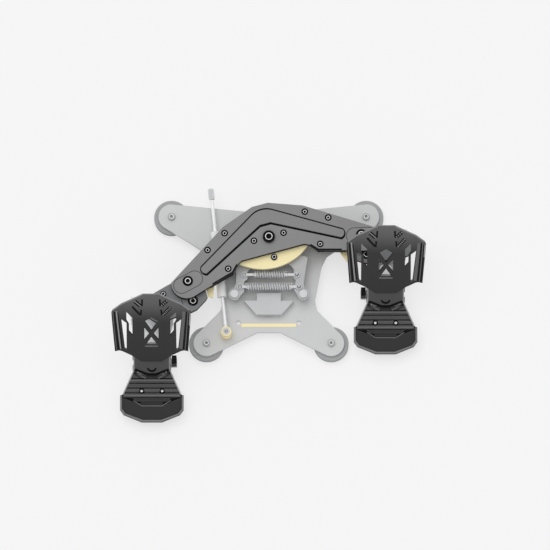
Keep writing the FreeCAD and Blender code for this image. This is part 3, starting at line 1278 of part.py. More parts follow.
def make_neck(side):
    neck = new_body(f"{SIDE_NAMES[side]}_toe_neck")
    back = S.toe_front - S.toe_sheet - S.neck_sheet
    half = [
        (S.neck_outer, S.neck_top), (S.neck_outer, S.neck_side_low), (S.neck_low_half, S.neck_low),
    ]
    pad(neck, "XZ_Plane", [both_sides(half)], low=back, length=S.neck_sheet)
    flange = [
        (-back - S.neck_sheet / 2, S.neck_side_low), (ZERO, -S.neck_flange_back),
        (S.neck_flange_back, -S.neck_flange_back / 2),
        (S.neck_flange_back, S.toe_bolt_rise + S.toe_bolt_margin), (-back, S.neck_flange_top),
        (-back - S.neck_sheet / 2, S.neck_flange_top),
    ]
    inner = S.ear_outer + S.neck_gap
    for start in (-S.neck_outer, inner):
        pad(neck, "YZ_Plane", [flange], low=start, length=S.neck_outer - inner)
    bore = S.brake_pin_radius + S.running_gap
    bores = [(0, 0, bore), (0, S.toe_bolt_rise, bore)]
    pocket(neck, "YZ_Plane", circles=bores)
    keep(neck, toe_frame(side))

    bolts = new_body(f"{SIDE_NAMES[side]}_toe_bolts")
    pad(bolts, "YZ_Plane", circles=[(0, 0, S.brake_pin_radius)], length=S.neck_outer * 2, middle=True)
    for way in (-1, 1):
        start = S.neck_outer if way > 0 else -S.neck_outer - S.toe_bolt_head
        spots = [(0, 0, S.toe_bolt_radius), (0, S.toe_bolt_rise, S.toe_bolt_radius)]
        pad(bolts, "YZ_Plane", circles=spots, low=start, length=S.toe_bolt_head)
        start = inner if way > 0 else -S.neck_outer
        pad(bolts, "YZ_Plane", circles=[(0, S.toe_bolt_rise, S.brake_pin_radius)], low=start,
            length=S.neck_outer - inner)
    keep(bolts, toe_frame(side))


def toe_windows():
    """The openings of a toe plate: two slots and a triangle on each side, and three in the middle."""
    slots = [
        [
            (S.slot_outer, S.outer_slot_top), (S.slot_middle, S.outer_slot_bend),
            (S.slot_foot_inner, S.outer_slot_low), (S.slot_foot_outer, S.outer_slot_foot),
        ],
        [
            (S.slot_middle, S.inner_slot_top), (S.slot_inner, S.inner_slot_bend),
            (S.slot_inner, S.inner_slot_low), (S.slot_waist, S.inner_slot_foot),
            (S.slot_waist, S.inner_slot_waist), (S.slot_middle, S.inner_slot_side),
        ],
        [(S.side_tip_half, S.side_tip), (S.window_half, S.side_top), (S.window_half, S.side_low)],
    ]
    half = S.window_half
    middle = [
        [(0, S.kite_top), (half, S.kite_side), (0, S.kite_low), (-half, S.kite_side)],
        [(0, S.lower_tip), (S.foot_window_half, S.lower_base), (-S.foot_window_half, S.lower_base)],
        rectangle(-S.bar_window_half, S.bar_window_half, S.bar_window_low, S.bar_window_top),
    ]
    return [sided(points, side) for points in slots for side in (-1, 1)] + middle


def make_toe_plate(side):
    plate = new_body(f"{SIDE_NAMES[side]}_toe_plate")
    root, edge, bend, sheet_thick = S.wing_root, S.wing_edge, S.wing_bend, S.toe_sheet
    section = [
        (-root, 0), (root, 0), (edge, -bend), (edge, -bend - sheet_thick), (root, -sheet_thick),
        (-root, -sheet_thick), (-edge, -bend - sheet_thick), (-edge, -bend),
    ]
    section_sketch = new_sketch(plate, "XY_Plane", [section])
    top = S.toe_straight + S.toe_bend_radius * sine(S.toe_bend_angle)
    back = S.toe_bend_radius - S.toe_bend_radius * cosine(S.toe_bend_angle)
    path = [(0, 0), (0, S.toe_straight, Bend(S.toe_bend_radius)), (back, top)]
    path_sketch = new_sketch(plate, "YZ_Plane", [path], closed=False)
    doc.recompute()
    sweep = plate.newObject("PartDesign::AdditivePipe", f"{plate.Label}_sweep")
    sweep.Profile = section_sketch
    sweep.Spine = (path_sketch, ["Edge1", "Edge2"])
    half = [
        (S.toe_tab_half, S.toe_straight * 2), (S.toe_tab_half, top), (S.toe_cut_half, S.toe_cut),
        (S.toe_shoulder_half, S.toe_shoulder), (S.toe_edge_half, S.toe_edge),
        (S.toe_side_half, S.toe_side), (S.toe_hip_half, S.toe_hip), (S.toe_foot_half, 0),
        (S.toe_foot_half, -1),
    ]
    far = S.wing_edge + 5
    waste = half + [(far, -1), (far, S.toe_straight * 2)]
    pocket(plate, "XZ_Plane", [waste, mirrored(waste)])
    pocket(plate, "XZ_Plane", toe_windows())
    rear_face = -(S.toe_front - S.toe_sheet)
    keep(plate, toe_frame(side, back=rear_face, up=S.toe_rise))


# Checks and export

def check_document():
    faults = []
    for item in doc.Objects:
        if "Invalid" in item.State or "Error" in item.State:
            faults.append(f"{item.Label} is {item.State}")
        if item.TypeId == "PartDesign::Pocket":
            base = item.BaseFeature
            if base is not None and item.Shape.Volume >= base.Shape.Volume - 1e-6:
                faults.append(f"{item.Label} cuts nothing")
    for label, piece in PIECES.items():
        if piece.Shape.isNull() or not piece.Shape.isValid() or not piece.Shape.Solids:
            faults.append(f"{label} has no valid solid")
    if faults:
        raise RuntimeError("; ".join(faults))


def export_pieces():
    os.makedirs("parts", exist_ok=True)
    for label, piece in PIECES.items():
        piece.Shape.exportStep(f"parts/{label}.step")
    box = Part.makeCompound([piece.Shape for piece in PIECES.values()]).BoundBox
    print(f"{len(PIECES)} pieces, {box.XLength:.1f} x {box.YLength:.1f} x {box.ZLength:.1f} mm")
    print(f"x {box.XMin:.2f} to {box.XMax:.2f}, y {box.YMin:.2f} to {box.YMax:.2f}, z from {box.ZMin:.2f}")


make_base()
make_hub()
make_cover()
make_jaw_fixings()
make_arm_plate()
make_cam()
make_shaft()
make_spars()
make_arm_screws(make_brackets())
for jaw_side in (-1, 1):
    make_jaw(jaw_side)
make_spring("upper", S.upper_spring_y, S.upper_hook_x, S.upper_half, S.upper_turns)
make_spring("lower", S.lower_spring_y, S.lower_hook_x, S.lower_half, S.lower_turns)
make_damper()
for pedal_side in (-1, 1):
    make_head(pedal_side)
    make_frame(pedal_side)
    make_heel(pedal_side)
    make_sensor(pedal_side)
    make_brake(pedal_side)
    make_neck(pedal_side)
    make_toe_plate(pedal_side)
doc.recompute()
check_document()
export_pieces()
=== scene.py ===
"""Flight sim rudder pedals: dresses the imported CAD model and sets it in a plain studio.

Lengths in the dataclasses are millimetres, apart from names that end in _m, and become metres where a
mesh is made. The frame is the CAD model's own: the origin is the middle of the footprint, +X is the
user's right, +Y is away from the user and +Z is up.
"""
from __future__ import annotations

import json
import logging
import math
from dataclasses import dataclass
from enum import Enum
from typing import Callable, Optional, Sequence

import bmesh
import bpy
from mathutils import Matrix, Vector

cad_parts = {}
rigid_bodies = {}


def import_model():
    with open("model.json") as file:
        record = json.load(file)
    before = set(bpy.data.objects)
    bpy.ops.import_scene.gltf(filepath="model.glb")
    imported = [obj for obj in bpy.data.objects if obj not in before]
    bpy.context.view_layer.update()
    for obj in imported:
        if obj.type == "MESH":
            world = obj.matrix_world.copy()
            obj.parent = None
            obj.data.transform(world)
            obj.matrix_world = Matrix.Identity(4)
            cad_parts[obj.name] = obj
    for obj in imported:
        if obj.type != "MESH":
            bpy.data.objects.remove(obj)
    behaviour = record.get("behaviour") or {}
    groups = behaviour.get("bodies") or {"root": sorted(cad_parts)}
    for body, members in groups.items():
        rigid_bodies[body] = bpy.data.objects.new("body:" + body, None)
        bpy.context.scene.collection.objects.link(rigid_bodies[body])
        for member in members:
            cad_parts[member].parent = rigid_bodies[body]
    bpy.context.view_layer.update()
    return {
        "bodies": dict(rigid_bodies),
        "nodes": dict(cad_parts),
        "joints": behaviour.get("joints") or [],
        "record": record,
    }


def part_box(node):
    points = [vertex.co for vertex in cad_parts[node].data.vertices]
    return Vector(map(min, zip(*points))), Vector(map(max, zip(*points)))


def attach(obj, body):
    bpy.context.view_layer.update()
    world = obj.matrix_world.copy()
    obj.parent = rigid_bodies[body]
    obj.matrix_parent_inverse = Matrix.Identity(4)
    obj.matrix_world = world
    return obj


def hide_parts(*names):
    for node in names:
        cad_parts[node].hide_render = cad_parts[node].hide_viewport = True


LOG = logging.getLogger("rudder_pedals")
MM = 0.001
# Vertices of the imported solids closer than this, in metres, are one.
WELD_M = 1e-6
# Flat faces that meet within this angle are joined before their edges are broken.
FLAT_DEGREES = 0.5
# Edges that turn more than these angles stay sharp, or are bevelled.
CREASE_DEGREES = 32.0
BEVEL_DEGREES = 34.0
# A face looks up where its normal rises more than this.
LOOKS_UP = 0.9
# Points of a turned shape this close, in millimetres, are one, or lie on the wall that is meant.
TURNED_WELD = 1e-4
ON_WALL = 1e-3
# The chamfer of a retaining clip, in millimetres.
CLIP_CHAMFER = 0.3

Tree = bpy.types.NodeTree
Socket = bpy.types.NodeSocket
Object = bpy.types.Object
Mesh = bmesh.types.BMesh
Face = bmesh.types.BMFace
Spot = tuple[float, float]
FaceChoice = Callable[[Face], int]
Press = Callable[[Vector], Vector]


class Sheen(Enum):
    """How finely a surface was finished, as the shader's roughness."""

    CHALKY = 0.85
    MATT = 0.62
    SATIN = 0.48
    SILK = 0.34
    POLISHED = 0.16


class Side(Enum):
    """The two pedals, each with the word that its CAD nodes start with."""

    LEFT = "left"
    RIGHT = "right"


def linear(code: str) -> tuple[float, float, float, float]:
    """Turns an sRGB hex colour into the linear one that shaders use.

    Args:
        code: A colour such as "#8a8a8b".

    Returns:
        Red, green, blue and an alpha of 1, linear.
    """
    channels = [int(code[index:index + 2], 16) / 255 for index in (1, 3, 5)]
    red, green, blue = (
        value / 12.92 if value <= 0.04045 else ((value + 0.055) / 1.055) ** 2.4 for value in channels
    )
    return red, green, blue, 1.0


def shaded(colour: tuple[float, float, float, float], share: float) -> tuple[float, float, float, float]:
    """Makes a linear colour lighter or darker by a share of itself."""
    red, green, blue, alpha = colour
    return red * share, green * share, blue * share, alpha


def add_node(
    tree: Tree,
    kind: str,
    settings: Optional[dict[str | int, object]] = None,
    links: Optional[dict[str | int, Socket]] = None,
) -> bpy.types.Node:
    """Adds one shader node.

    Args:
        tree: The material's node tree.
        kind: The node's type name without the ShaderNode at its start.
        settings: Values for its inputs, by name or number, or for its own properties.
        links: Sockets to join to its inputs.

    Returns:
        The new node.
    """
    node = tree.nodes.new(f"ShaderNode{kind}")
    for key, value in (settings or {}).items():
        if isinstance(key, int) or key in node.inputs:
            node.inputs[key].default_value = value
        else:
            setattr(node, key, value)
    for key, socket in (links or {}).items():
        tree.links.new(socket, node.inputs[key])
    return node


def empty_tree(owner: bpy.types.Material | bpy.types.World) -> Tree:
    """Turns on the node tree of a material or a world and clears it.

    Args:
        owner: The material or world.

    Returns:
        Its empty node tree.
    """
    owner.use_nodes = True
    owner.node_tree.nodes.clear()
    return owner.node_tree


@dataclass(frozen=True)
class Finish:
    """A surface finish: its colour, how it shines and the fine relief that its making leaves."""

    name: str
    colour: str
    sheen: Sheen
    metallic: float = 0.0
    gloss: float = 0.5
    relief_mm: float = 0.9
    relief_depth_mm: float = 0.03
    mottle_mm: float = 24.0
    mottle: float = 0.05

    def tint(self, tree: Tree, place: Socket) -> Socket:
        """Gives the colour soft light and dark patches of the mottle's size.

        Args:
            tree: The material's node tree.
            place: The coordinates to read.

        Returns:
            The colour socket.
        """
        patches = {"Scale": 1 / (self.mottle_mm * MM), "Detail": 3.0, "Roughness": 0.6}
        cloud = add_node(tree, "TexNoise", patches, {"Vector": place})
        colour = linear(self.colour)
        shades = {6: shaded(colour, 1 - self.mottle), 7: shaded(colour, 1 + self.mottle)}
        mixed = add_node(tree, "Mix", {"data_type": "RGBA", **shades}, {0: cloud.outputs["Fac"]})
        return mixed.outputs[2]

    def relief(self, tree: Tree, place: Socket) -> Socket:
        """The height of the fine relief at a place, from 0 to 1: an even grain."""
        grain = {"Scale": 1 / (self.relief_mm * MM), "Detail": 2.0, "Roughness": 0.5}
        return add_node(tree, "TexNoise", grain, {"Vector": place}).outputs["Fac"]

    def build(self) -> bpy.types.Material:
        """Makes the material once and hands out the same one after that.

        Returns:
            The material of this finish.
        """
        known = bpy.data.materials.get(self.name)
        if known:
            return known
        material = bpy.data.materials.new(self.name)
        tree = empty_tree(material)
        place = add_node(tree, "TexCoord").outputs["Object"]
        depth = {"Strength": 0.6, "Distance": self.relief_depth_mm * MM}
        bump = add_node(tree, "Bump", depth, {"Height": self.relief(tree, place)})
        shine = {"Roughness": self.sheen.value, "Metallic": self.metallic, "Specular IOR Level": self.gloss}
        look = {"Base Color": self.tint(tree, place), "Normal": bump.outputs["Normal"]}
        shader = add_node(tree, "BsdfPrincipled", shine, look)
        add_node(tree, "OutputMaterial", links={"Surface": shader.outputs["BSDF"]})
        return material


@dataclass(frozen=True)
class PowderCoat(Finish):
    """Baked powder on metal: an orange-peel skin with patches of flow."""

    sheen: Sheen = Sheen.SATIN
    gloss: float = 0.3
    relief_mm: float = 1.1
    relief_depth_mm: float = 0.04

    def relief(self, tree: Tree, place: Socket) -> Socket:
        """Smooth rounded cells, the orange peel of a baked powder."""
        cells = {"feature": "SMOOTH_F1", "Scale": 1 / (self.relief_mm * MM), "Smoothness": 0.8}
        return add_node(tree, "TexVoronoi", cells, {"Vector": place}).outputs["Distance"]


@dataclass(frozen=True)
class BrushedMetal(Finish):
    """Bare or anodised metal: fine lines from brushing or turning along one axis."""

    metallic: float = 1.0
    relief_mm: float = 0.35
    relief_depth_mm: float = 0.012
    mottle: float = 0.04
    stretch: tuple[float, float, float] = (0.04, 1.0, 1.0)

    def relief(self, tree: Tree, place: Socket) -> Socket:
        """The even grain drawn out along the brushing, so that it reads as fine lines."""
        drawn = add_node(tree, "Mapping", {"Scale": self.stretch}, {"Vector": place})
        return super().relief(tree, drawn.outputs["Vector"])


@dataclass(frozen=True)
class PrintedBoard(Finish):
    """Solder mask over copper tracks: straight tracks show as lighter green lines."""

    pitch_mm: float = 1.6
    length_mm: float = 8.0
    track_mm: float = 0.2
    patch_share: float = 1.2
    track_share: float = 2.4

    def tint(self, tree: Tree, place: Socket) -> Socket:
        """Lighter lines of track on the mask's own green."""
        colour = linear(self.colour)
        return add_node(
            tree,
            "TexBrick",
            {
                "Scale": 1.0,
                "Brick Width": self.length_mm * MM,
                "Row Height": self.pitch_mm * MM,
                "Mortar Size": self.track_mm * MM,
                "Color1": colour,
                "Color2": shaded(colour, self.patch_share),
                "Mortar": shaded(colour, self.track_share),
            },
            {"Vector": place},
        ).outputs["Color"]


@dataclass(frozen=True)
class PedalCoat(PowderCoat):
    """The duller powder coat of the pedals."""

    sheen: Sheen = Sheen.MATT
    gloss: float = 0.25


@dataclass(frozen=True)
class TopLitCoat(PedalCoat):
    """A dark powder coat with a painted highlight: paler towards the top of a leaning plate."""

    # The colour of the painted highlight at the top of the plate.
    highlight_colour: str = "#626263"
    start_mm: float = 126.0
    stop_mm: float = 166.0

    def tint(self, tree: Tree, place: Socket) -> Socket:
        """Goes from the coat's own colour to the painted highlight's colour with height.

        Args:
            tree: The material's node tree.
            place: The coordinates to read.

        Returns:
            The colour socket.
        """
        axes = add_node(tree, "SeparateXYZ", links={"Vector": place})
        span = {"From Min": self.start_mm * MM, "From Max": self.stop_mm * MM}
        eased = {**span, "interpolation_type": "SMOOTHSTEP"}
        share = add_node(tree, "MapRange", eased, {"Value": axes.outputs["Z"]})
        mix = {0: share.outputs["Result"], 6: super().tint(tree, place)}
        return add_node(tree, "Mix", {"data_type": "RGBA", 7: linear(self.highlight_colour)}, mix).outputs[2]


# Finishes, named for what the real surface is; some carry painted highlights and painted shade.
# Powder-coated aluminium plate: an even satin grey, with painted shade, a darker grey, on its bevelled
# edges.
ARM_GREY = PowderCoat("arm_grey_powder_coat", "#858586")
ARM_EDGE_SHADE = PowderCoat("arm_edge_painted_shade", "#6f6f70")
INLAY_GREY = PowderCoat("inlay_grey_powder_coat", "#838384")
BRACKET_GREY = PowderCoat("bracket_grey_powder_coat", "#797a7b")
# Painted shade: black on sides, walls, groove floors, furrows, sockets and lower edges, where shade falls.
SHADE_BLACK = PowderCoat("painted_shade_black_coat", "#0b0b0c", Sheen.MATT, gloss=0.15)
# Silver powder coat of the base and its fittings: pale and matt.
BASE_SILVER = PowderCoat("base_silver_powder_coat", "#cacbcb", mottle=0.03)
# Painted shade: a darker silver on the bevelled edges of the base.
BASE_EDGE_SHADE = PowderCoat("base_edge_painted_shade", "#a9aaab")
FITTING_SILVER = PowderCoat("fitting_silver_powder_coat", "#acadae")
# Painted highlight: a paler silver on the bevelled edges of the fittings and on the damper washer's raised
# ring and button.
FITTING_EDGE_HIGHLIGHT = PowderCoat("fitting_edge_painted_highlight", "#cccdce")
# Painted shade: a darker grey in the sockets of silver screws and in the damper washer's recess.
SOCKET_SHADE_GREY = PowderCoat("socket_painted_shade_grey", "#8f9091")
JAW_SILVER = PowderCoat("jaw_silver_powder_coat", "#b6b7b8")
# Painted light: the links, frames, cylinders and toe bolts are painted near white, paler than their silver,
# to lift the shade that falls on them.
LINK_SILVER_PAINTED_LIGHT = PowderCoat("link_silver_painted_light", "#ebeced")
# Pedal sheets: charcoal powder coat, painted paler towards the top as a highlight.
PEDAL_CHARCOAL = TopLitCoat("pedal_charcoal_top_lit_coat", "#333334")
# Painted highlights: paler coats on the bevelled edges, the wings' bands and ridges, the grip marks' crests
# and the walls that look up.
PEDAL_EDGE_HIGHLIGHT = PedalCoat("pedal_edge_painted_highlight", "#626263")
PEDAL_BAND_HIGHLIGHT = PedalCoat("pedal_band_painted_highlight", "#666667")
PEDAL_RIDGE_HIGHLIGHT = PedalCoat("pedal_ridge_painted_highlight", "#a0a0a1")
PEDAL_RIM_HIGHLIGHT = PedalCoat("pedal_rim_painted_highlight", "#828283")
NECK_CHARCOAL = PedalCoat("neck_charcoal_powder_coat", "#555556")
# Painted highlight on the neck's side rail.
NECK_RAIL_HIGHLIGHT = PedalCoat("neck_rail_painted_highlight", "#8c8c8d")
HEEL_CHARCOAL = PedalCoat("heel_charcoal_powder_coat", "#2f2f30")
HEEL_RIB = PedalCoat("heel_rib_powder_coat", "#4b4b4c")
# Painted highlights on the heel rest's rail, its rim's top, its crests and lines, and its bevelled edges.
HEEL_RAIL_HIGHLIGHT = PedalCoat("heel_rail_painted_highlight", "#a2a2a3")
HEEL_EDGE_HIGHLIGHT = PedalCoat("heel_edge_painted_highlight", "#747475")
# Champagne anodised aluminium, blasted first: pale gold that scatters light, with fine brush lines.
CHAMPAGNE = BrushedMetal("champagne_anodised_aluminium", "#f8ebb9", Sheen.SATIN, metallic=0.25)
# Painted highlight: a paler gold on the bevelled edges.
CHAMPAGNE_EDGE_HIGHLIGHT = BrushedMetal("champagne_edge_painted_highlight", "#fff6d6", Sheen.SILK, metallic=0.25)
# Turned steel: bright, with rings or lines of the tool.
BRIGHT_STEEL = BrushedMetal("turned_bright_steel", "#d6d7d8", Sheen.SILK, metallic=0.8)
SPRING_STEEL = BrushedMetal("drawn_spring_steel", "#dcdddf", Sheen.SILK, metallic=0.6)
BLACK_OXIDE = BrushedMetal("black_oxide_steel", "#0b0b0c", Sheen.SATIN, metallic=0.4, gloss=0.15)
# Painted highlight: a bright ring on the chamfer round the socket of a blackened screw.
SOCKET_RING_HIGHLIGHT = BrushedMetal("socket_ring_painted_highlight", "#f4f4f5", Sheen.SATIN, metallic=0.3)
# Hard chrome of the damper's rod.
CHROME = BrushedMetal("hard_chrome_rod", "#f2f3f4", Sheen.SILK, metallic=0.3)
# Natural rubber, moulded: soft grey with a pebbled skin.
GREY_RUBBER = Finish(
    "moulded_grey_rubber", "#a2a3a4", Sheen.CHALKY, gloss=0.3, relief_mm=1.6, relief_depth_mm=0.12,
    mottle=0.04,
)
# ABS with a spark-eroded skin.
GREY_ABS = Finish("moulded_grey_abs", "#c4c5c6", Sheen.MATT, gloss=0.3, relief_mm=0.5)
# Painted highlight: a paler grey on the cover's bevelled edges.
GREY_ABS_EDGE_HIGHLIGHT = Finish("grey_abs_edge_painted_highlight", "#d9dadb", Sheen.SATIN, gloss=0.3)
BLACK_ABS = Finish("moulded_black_abs", "#0d0d0e", Sheen.MATT, gloss=0.2, relief_mm=0.5)
# Green lacquer over copper: a smooth board whose tracks show as paler lines.
SOLDER_MASK = PrintedBoard("solder_mask_board", "#1d5a38", Sheen.SILK)
# Nickel plate: a warm mirror on the small magnet.
MAGNET = BrushedMetal("nickel_plated_magnet", "#b9b6ae", Sheen.POLISHED)


def add_mesh(name: str, mesh: Mesh, materials: Sequence[bpy.types.Material]) -> Object:
    """Turns a finished bmesh into an object of the scene.

    Args:
        name: The object's name.
        mesh: The geometry in metres, in place; it is freed here.
        materials: One material for each material number of the faces.

    Returns:
        The new object.
    """
    data = bpy.data.meshes.new(name)
    mesh.to_mesh(data)
    mesh.free()
    for material in materials:
        data.materials.append(material)
    made = bpy.data.objects.new(name, data)
    bpy.context.scene.collection.objects.link(made)
    return made


def add_piece(
    name: str,
    mesh: Mesh,
    body: str,
    finishes: Sequence[Finish],
    stands_for: Sequence[str] = (),
    slot: Optional[str] = None,
) -> Object:
    """Makes a piece that rides on a CAD body.

    Args:
        name: The piece's name.
        mesh: The geometry in metres, in place; it is freed here.
        body: The CAD body to ride on.
        finishes: One finish for each material number of the faces.
        stands_for: CAD nodes that this piece is shown in place of.
        slot: The record's material slot that the piece belongs to; not used.

    Returns:
        The new object.
    """
    piece = add_mesh(name, mesh, [finish.build() for finish in finishes])
    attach(piece, body)
    if stands_for:
        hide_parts(*stands_for)
    LOG.info("%s rides on %s", name, body)
    return piece


def soften(mesh: Mesh) -> None:
    """Shades faces smoothly across every edge that turns less than the crease angle.

    Args:
        mesh: The bmesh to shade.
    """
    for face in mesh.faces:
        face.smooth = True
    for edge in mesh.edges:
        edge.smooth = edge.is_manifold and edge.calc_face_angle(0.0) < math.radians(CREASE_DEGREES)


def turned(
    mesh: Mesh,
    profile: Sequence[Spot],
    place: Matrix,
    segments: int = 48,
    paints: Sequence[int] = (),
    press: Optional[Press] = None,
) -> None:
    """Adds a closed turned shape: its profile is spun once round the axis.

    Args:
        mesh: The bmesh to add to.
        profile: Radius and height of each corner in millimetres, from one end to the other.
        place: The frame of the axis, in metres.
        segments: Steps of the spin.
        paints: The material number of each band between corners; 0 where it is left out.
        press: Moves a point of the spun shape, in millimetres, such as into a hexagon.
    """
    lathe = bmesh.new()
    line = [(0.0, profile[0][1]), *profile, (0.0, profile[-1][1])]
    verts = [lathe.verts.new((radius, 0.0, height)) for radius, height in line]
    edges = [lathe.edges.new(pair) for pair in zip(verts, verts[1:])]
    bmesh.ops.spin(
        lathe, geom=verts + edges, cent=(0, 0, 0), axis=(0, 0, 1), angle=math.tau, steps=segments,
        use_merge=True,
    )
    bmesh.ops.remove_doubles(lathe, verts=lathe.verts, dist=TURNED_WELD)
    middles = [Vector(first).lerp(Vector(second), 0.5) for first, second in zip(line, line[1:])]
    bands = [0, *paints] + [0] * (len(profile) - len(paints))
    for face in lathe.faces:
        centre = face.calc_center_median()
        spot = Vector((centre.xy.length, centre.z))
        face.material_index = bands[min(range(len(middles)), key=lambda i: (middles[i] - spot).length)]
    if press:
        for vert in lathe.verts:
            vert.co = press(vert.co)
    bmesh.ops.recalc_face_normals(lathe, faces=lathe.faces)
    bmesh.ops.transform(lathe, matrix=place @ Matrix.Scale(MM, 4), verts=lathe.verts)
    data = bpy.data.meshes.new("one_turned_shape")
    lathe.to_mesh(data)
    lathe.free()
    mesh.from_mesh(data)
    bpy.data.meshes.remove(data)


def drawn_in(point: Vector, radius: float, share: float) -> Vector:
    """Moves a point of a turned shape towards its axis if it lies on a wall.

    Args:
        point: The point, in millimetres.
        radius: The radius of the wall.
        share: What is left of the radius there.

    Returns:
        The moved point, or the same one where it lies elsewhere.
    """
    if abs(point.xy.length - radius) > ON_WALL:
        return point
    return Vector((point.x * share, point.y * share, point.z))


def islands(node: Object) -> list[tuple[Vector, Vector]]:
    """Finds the separate solids of a CAD node.

    Args:
        node: The CAD node's object.

    Returns:
        The lowest and highest corner of each solid, in metres, in order of place.
    """
    mesh = bmesh.new()
    mesh.from_mesh(node.data)
    bmesh.ops.remove_doubles(mesh, verts=mesh.verts, dist=WELD_M)
    waiting = set(mesh.verts)
    boxes = []
    while waiting:
        front = [waiting.pop()]
        low, high = front[0].co.copy(), front[0].co.copy()
        while front:
            vert = front.pop()
            low = Vector(map(min, low, vert.co))
            high = Vector(map(max, high, vert.co))
            for edge in vert.link_edges:
                other = edge.other_vert(vert)
                if other in waiting:
                    waiting.remove(other)
                    front.append(other)
        boxes.append((low, high))
    mesh.free()
    return sorted(boxes, key=lambda box: tuple(box[0]))


@dataclass(frozen=True)
class Stroke:
    """A thin bar on a flat pattern, in (across, up, proud) millimetres, black unless given a finish.

    Start and stop end its middle line and proud is how far its top stands out. The top is narrower
    than the foot by the slope on each side, and the foot is sunk. Every step starts a row of faces.
    """

    start: Spot
    stop: Spot
    width: float
    # Black by default: painted shade in the furrows and beside the ridges.
    finish: Finish = SHADE_BLACK
    proud: float = 0.14
    slope: float = 0.0
    sunk: float = 0.4
    step: float = 4.0

    def lay(self, mesh: Mesh, way: int, paint: int) -> None:
        """Adds the bar.

        Args:
            mesh: The bmesh to add to.
            way: 1, or -1 to mirror it across the middle.
            paint: The material number of its faces.
        """
        first, last = (Vector((across * way, up)) for across, up in (self.start, self.stop))
        run = last - first
        side = Vector((-run.y, run.x)).normalized()
        rows = max(2, int(run.length / self.step))
        verts = bmesh.ops.create_grid(mesh, x_segments=1, y_segments=rows, size=1.0)["verts"]
        for vert in verts:
            spot = first + run * (vert.co.y + 1) / 2 + side * vert.co.x * self.width / 2
            vert.co = Vector((spot.x, spot.y, -self.sunk))
        faces = list(dict.fromkeys(face for vert in verts for face in vert.link_faces))
        lifted = bmesh.ops.extrude_face_region(mesh, geom=faces)["geom"]
        tops = [item for item in lifted if isinstance(item, bmesh.types.BMVert)]
        middle = (first + last) / 2
        for vert in tops:
            away = (vert.co.xy - middle).dot(side)
            vert.co.xy = vert.co.xy - side * math.copysign(self.slope, away)
            vert.co.z = self.proud
        for vert in (*verts, *tops):
            for face in vert.link_faces:
                face.material_index = paint


@dataclass(frozen=True)
class SocketScrew:
    """A socket screw with a painted highlight, a bright ring, round its hexagon socket.

    The ring's radii and the hexagon's are shares of the head's radius.
    """

    head_high: float
    shank: float
    ring_outer: float = 0.62
    ring_inner: float = 0.47
    hexagon: float = 0.42
    chamfer: float = 0.5
    dip: float = 0.3
    sunk: float = 1.6
    segments: int = 48
    floor_paint: int = 2

    def build(self, mesh: Mesh, place: Matrix, head: float, tall: float) -> None:
        """Adds one screw, made on its own and then put in place.

        Args:
            mesh: The bmesh to add to.
            place: The frame at the top of the head, +Z outwards, in metres.
            head: The head's radius in millimetres.
            tall: The whole screw's height in millimetres.
        """
        outer, inner = head * self.ring_outer, head * self.ring_inner
        corner = head * self.hexagon
        profile = [
            (self.shank, -tall), (self.shank, -self.head_high), (head, -self.head_high),
            (head, -self.chamfer), (head - self.chamfer, 0), (outer, 0),
            (inner, -self.dip), (corner, -self.dip), (corner, -self.sunk),
        ]

        def hexagon(point: Vector) -> Vector:
            """Presses the socket's round wall into a hexagon."""
            turn = math.atan2(point.y, point.x) % (math.pi / 3) - math.pi / 6
            return drawn_in(point, corner, math.cos(math.pi / 6) / math.cos(turn))

        paints = [0, 0, 0, 0, 0, 1, 2, 2, self.floor_paint]
        turned(mesh, profile, place, self.segments, paints, hexagon)


@dataclass
class Surface:
    """A sheet that a flat pattern is wrapped onto; it lies level unless it is given a lean."""

    origin: Vector
    lean_degrees: float = 0.0

    def spot(self, across: float, up: float, proud: float) -> Vector:
        """Where a place of the pattern lies, in millimetres from the origin before the lean."""
        return Vector((across, up, proud))

    def wrap(self, mesh: Mesh) -> None:
        """Moves a flat pattern onto the sheet.

        Args:
            mesh: The pattern; each vertex is (across, up, proud) in millimetres.
        """
        lean = Matrix.Rotation(math.radians(-self.lean_degrees), 3, "X")
        for vert in mesh.verts:
            vert.co = self.origin + lean @ self.spot(*vert.co) * MM


@dataclass
class ToeSurface(Surface):
    """The front of a toe plate: straight sheet with wings, bent back near its top."""

    lean_degrees: float = 30.0
    front: float = 12.2
    sheet: float = 3.0
    rise: float = 27.4
    straight: float = 85.0
    bend_radius: float = 130.0
    wing_root: float = 43.0
    wing_edge: float = 57.5
    wing_bend: float = 5.5
    # How squarely a face looks along the sheet's front, and how far a wall looks up.
    squarely: float = 0.55
    upwards: float = 0.45

    def spot(self, across: float, up: float, proud: float) -> Vector:
        """Maps a place on the flat pattern to the plate, bend and wings included.

        Args:
            across: Millimetres to the right of the middle line.
            up: Millimetres along the sheet from the plate's lowest point.
            proud: Millimetres out of the front face.

        Returns:
            The point in millimetres from the origin, before the lean.
        """
        wing = max(abs(across) - self.wing_root, 0.0) / (self.wing_edge - self.wing_root)
        reach = self.sheet + proud + wing * self.wing_bend
        rear = self.sheet - self.front
        if up <= self.straight:
            depth, height = rear - reach, self.rise + up
        else:
            turn = (up - self.straight) / self.bend_radius
            arm = self.bend_radius + reach
            depth = rear + self.bend_radius - arm * math.cos(turn)
            height = self.rise + self.straight + arm * math.sin(turn)
        return Vector((across, depth, height))

    def paint(self, face: Face) -> int:
        """Picks the finish of a face of a leaning sheet.

        Args:
            face: A face of the merged copy.

        Returns:
            0 for the front and back, 3 for walls that look up, painted as highlight, and 2 for the other
            walls, black painted shade.
        """
        lean = math.radians(self.lean_degrees)
        front = Vector((0, -math.cos(lean), math.sin(lean)))
        if abs(face.normal.dot(front)) > self.squarely:
            return 0
        return 3 if face.normal.z > self.upwards else 2


@dataclass
class NeckSurface(Surface):
    """The flat front of a toe neck."""

    lean_degrees: float = 30.0
    front: float = 9.2

    def spot(self, across: float, up: float, proud: float) -> Vector:
        """Stands the pattern upright in front of the brake axis."""
        return Vector((across, -self.front - proud, up))


